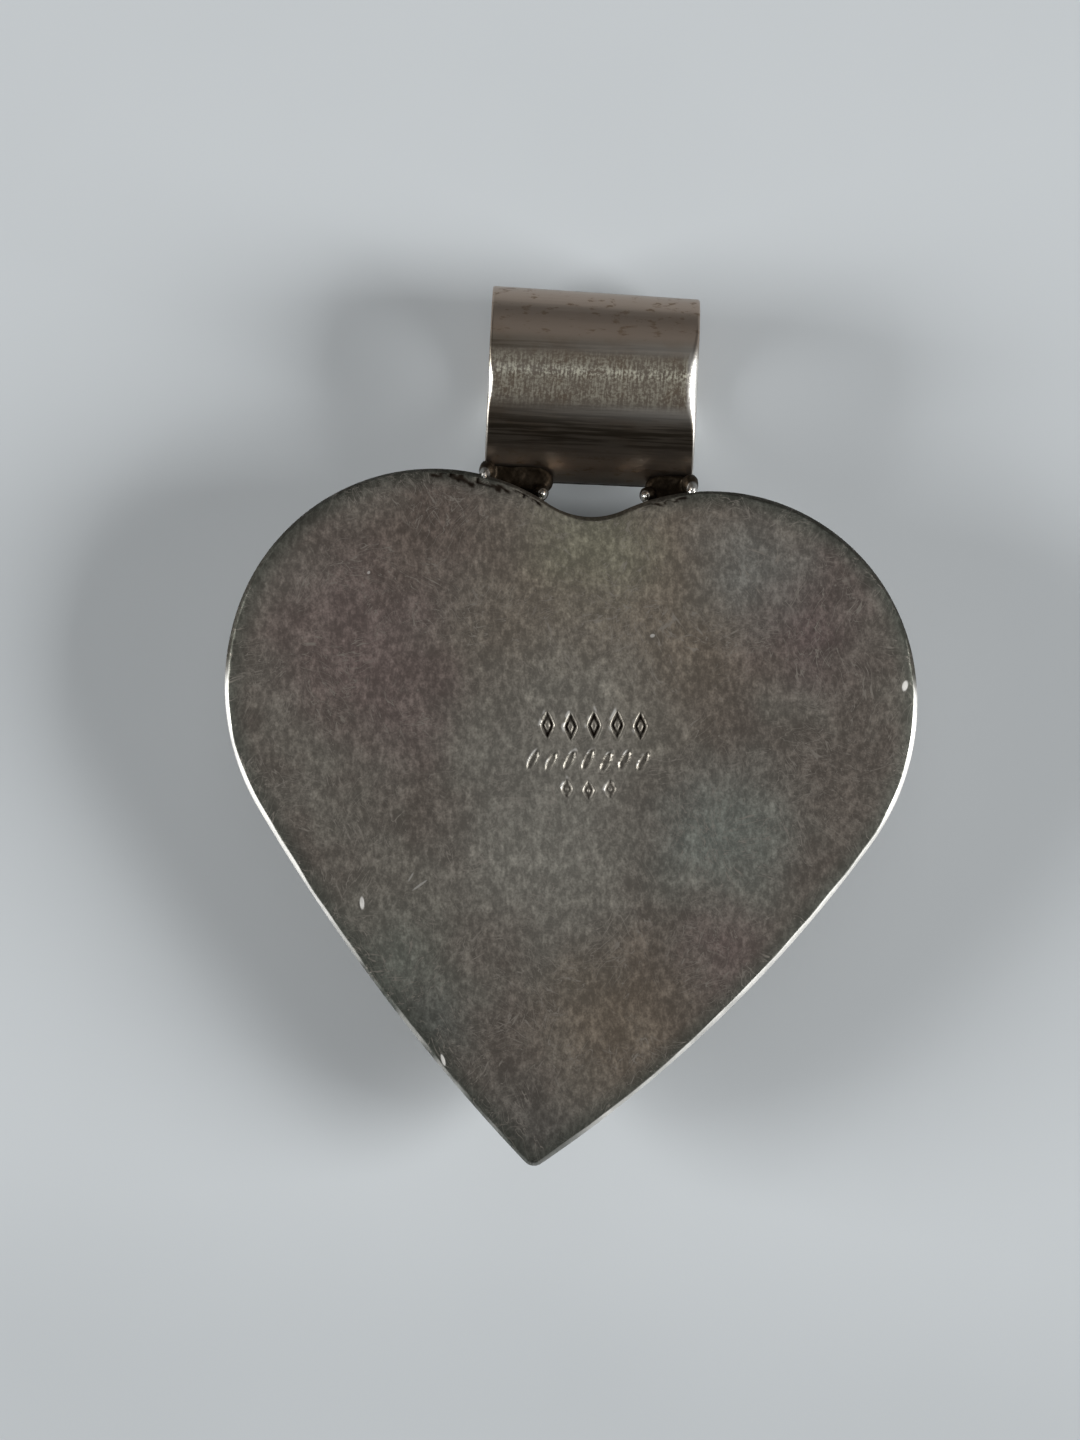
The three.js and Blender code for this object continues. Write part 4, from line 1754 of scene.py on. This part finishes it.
@dataclass
class SolderFillet:
    """Run of solder on one shoulder of the heart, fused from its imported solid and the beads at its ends."""

    node: str
    beads: tuple[Bead, ...]
    finish: SolderFinish = field(default_factory=SolderFinish)
    voxel: float = 0.07
    smoothing: int = 5
    lumps: float = 0.035

    def blank(self) -> bpy.types.Mesh:
        """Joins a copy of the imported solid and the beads.

        Returns:
            The pieces, not yet fused.
        """
        work = bmesh.new()
        work.from_mesh(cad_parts[self.node].data)
        bmesh.ops.remove_doubles(work, verts=work.verts[:], dist=1e-3 * MM)
        for bead in self.beads:
            made = bmesh.ops.create_icosphere(work, subdivisions=3, radius=1.0)["verts"]
            bmesh.ops.scale(work, vec=Vector(bead.radii) * MM, verts=made)
            x, y, z = bead.centre
            bmesh.ops.translate(work, vec=Vector((x, y + ROW_LIFT, z)) * MM, verts=made)
        mesh = bpy.data.meshes.new(self.node + "_blank")
        work.to_mesh(mesh)
        work.free()
        return mesh

    def fused(self) -> bpy.types.Mesh:
        """Fuses and softens the pieces.

        Returns:
            One closed skin.
        """
        carrier = add_object(self.node + "_blank", self.blank())
        remesh = carrier.modifiers.new("fuse", "REMESH")
        remesh.mode = "VOXEL"
        remesh.voxel_size = self.voxel * MM
        soften = carrier.modifiers.new("soften", "SMOOTH")
        soften.factor = 0.5
        soften.iterations = self.smoothing
        return evaluated_mesh(carrier, self.node + "_bead")

    def build(self) -> bpy.types.Object:
        """Builds the piece.

        Returns:
            The fillet.
        """
        mesh = self.fused()
        points = corner_points(mesh)
        normals = np.array([v.normal for v in mesh.vertices])
        # painted highlight: bright where a bead glints
        bright = np.zeros(len(points))
        for bead in self.beads:
            reach = np.linalg.norm((points - np.array(bead.centre)) / np.array(bead.radii), axis=1)
            bright = np.maximum(bright, bead.bright * ease(reach, 1.35, 0.95))
        places = [Vector(point) for point in points]
        coarse = np.array([noise.noise(place * 2.6) for place in places])
        fine = np.array([noise.noise(place * 6.0) for place in places])
        points = points + normals * ((coarse + 0.5 * fine) * self.lumps * (1 - 0.7 * bright))[:, None]
        move_corners(mesh, points)
        paint(mesh, "bare_and_glint", bright)
        return settle(self.node + "_bead", mesh, self.finish.material(), self.node)


def settle(
    name: str, mesh: bpy.types.Mesh, material: bpy.types.Material, node: str
) -> bpy.types.Object:
    """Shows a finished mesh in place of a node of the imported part.

    Args:
        name: Name of the piece.
        mesh: Its mesh, in the part's frame.
        material: Its finish.
        node: The node that it stands for.

    Returns:
        The piece.
    """
    mesh.materials.clear()
    mesh.materials.append(material)
    mesh.shade_smooth()
    mesh.set_sharp_from_angle(angle=SMOOTH_ANGLE)
    mesh.name = name
    made = add_object(name, mesh)
    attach(made, BODY)
    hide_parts(node)
    return made


@dataclass(frozen=True)
class Sky:
    """Faint light from all round, and a plain strip of light from overhead to the bail's side."""

    faint_level: float = 0.03
    strip_level: float = 0.53
    strip_side: Point = (0.16, 0.44)
    strip_start: Point = (-0.38, -0.1)
    strip_end: Point = (0.88, 0.995)
    horizon: Point = (0.0, 0.12)
    seen_colour: Colour = srgb(205, 209, 212)

    def level(self, sheet: NodeSheet) -> Socket:
        """Works out how bright the sky is in each direction.

        Args:
            sheet: The world's nodes in the making.

        Returns:
            The brightness.
        """
        x, y, z = sheet.split(sheet.node("ShaderNodeTexCoord", {}).outputs["Generated"])
        middle = sheet.ease(sheet.math("ABSOLUTE", x), *self.strip_side, 1.0, 0.0)
        start = sheet.ease(y, *self.strip_start)
        end = sheet.ease(y, *self.strip_end, 1.0, 0.0)
        raised = sheet.ease(z, *self.horizon, 0.0, self.strip_level - self.faint_level)
        strip = sheet.times(sheet.times(middle, start), sheet.times(end, raised))
        return sheet.total(strip, self.faint_level)

    def build(self) -> None:
        """Puts the sky round the scene, with one even pale tone for the camera."""
        world = bpy.data.worlds.new("soft_room")
        world.use_nodes = True
        sheet = NodeSheet(world.node_tree)
        lit = sheet.node("ShaderNodeBackground", {"Strength": self.level(sheet)}).outputs[0]
        seen = sheet.node("ShaderNodeBackground", {"Color": self.seen_colour}).outputs[0]
        by_camera = sheet.node("ShaderNodeLightPath", {}).outputs["Is Camera Ray"]
        choice = sheet.node("ShaderNodeMixShader", {0: by_camera, 1: lit, 2: seen})
        sheet.node("ShaderNodeOutputWorld", {0: choice.outputs[0]})
        bpy.context.scene.world = world


@dataclass(frozen=True)
class Lamp:
    """A square soft lamp facing the pendant: its direction in degrees, its side in metres and its watts."""

    name: str
    azimuth: float
    elevation: float
    side: float
    power: float
    distance: float = 0.8

    def build(self) -> None:
        """Hangs the lamp."""
        turn, rise = math.radians(self.azimuth), math.radians(self.elevation)
        flat = self.distance * math.cos(rise)
        place = Vector((flat * math.cos(turn), flat * math.sin(turn), self.distance * math.sin(rise)))
        light = bpy.data.lights.new(self.name, "AREA")
        light.shape = "SQUARE"
        light.size = self.side
        light.energy = self.power
        holder = bpy.data.objects.new(self.name, light)
        holder.location = place
        holder.rotation_euler = (-place).to_track_quat("-Z", "Y").to_euler()
        bpy.context.scene.collection.objects.link(holder)


@dataclass
class Studio:
    """Pale board, soft lamps, sky and a camera that looks straight down."""

    floor_side: float = 1.6
    camera_place: Point = (-1.667, 0.158)
    camera_height: float = 300.0
    camera_turn: float = math.radians(4.67)
    frame_width: float = 62.25
    sensor_width: float = 36.0
    sky: Sky = field(default_factory=Sky)
    lamps: tuple[Lamp, ...] = (
        Lamp("right_softbox", -5.0, 26.5, 0.38, 7.3),
        Lamp("left_softbox", 187.0, 20.0, 0.38, 7.0),
    )
    floor_finish: FloorFinish = field(default_factory=FloorFinish)

    def floor(self) -> None:
        """Lays the board."""
        half = self.floor_side / 2
        corners = [(-half, -half, 0), (half, -half, 0), (half, half, 0), (-half, half, 0)]
        mesh = bpy.data.meshes.new("board")
        mesh.from_pydata(corners, [], [(0, 1, 2, 3)])
        mesh.materials.append(self.floor_finish.material())
        add_object("board", mesh)

    def camera(self) -> None:
        """Sets the camera above the pendant."""
        data = bpy.data.cameras.new("camera")
        data.sensor_fit = "HORIZONTAL"
        data.sensor_width = self.sensor_width
        data.lens = self.sensor_width * self.camera_height / self.frame_width
        holder = bpy.data.objects.new("camera", data)
        x, y = self.camera_place
        holder.location = Vector((x, y, self.camera_height + FACE_LEVEL)) * MM
        holder.rotation_euler = (0.0, 0.0, self.camera_turn)
        bpy.context.scene.collection.objects.link(holder)
        bpy.context.scene.camera = holder

    def build(self) -> None:
        """Sets up the whole studio."""
        bpy.context.scene.view_settings.view_transform = "Standard"
        self.floor()
        self.sky.build()
        for lamp in self.lamps:
            lamp.build()
        self.camera()


def main() -> None:
    """Builds the pendant and its studio, piece by piece."""
    logging.basicConfig(level=logging.INFO, format="%(name)s: %(message)s")
    outline = HeartOutline()
    strap = BailStrap()
    makers: tuple[Callable[[], bpy.types.Object], ...] = (
        FrontShell(outline).build,
        RimSeam(outline).build,
        BackPlate(outline).build,
        strap.build,
        BailJoint(strap).build,
        SolderFillet("bail_solder_left", LEFT_BEADS).build,
        SolderFillet("bail_solder_right", RIGHT_BEADS).build,
    )
    for maker in makers:
        piece = maker()
        triangles = sum(len(face.vertices) - 2 for face in piece.data.polygons)
        LOG.info("%s has %d triangles", piece.name, triangles)
    Studio().build()


if __name__ == "__main__":
    main()
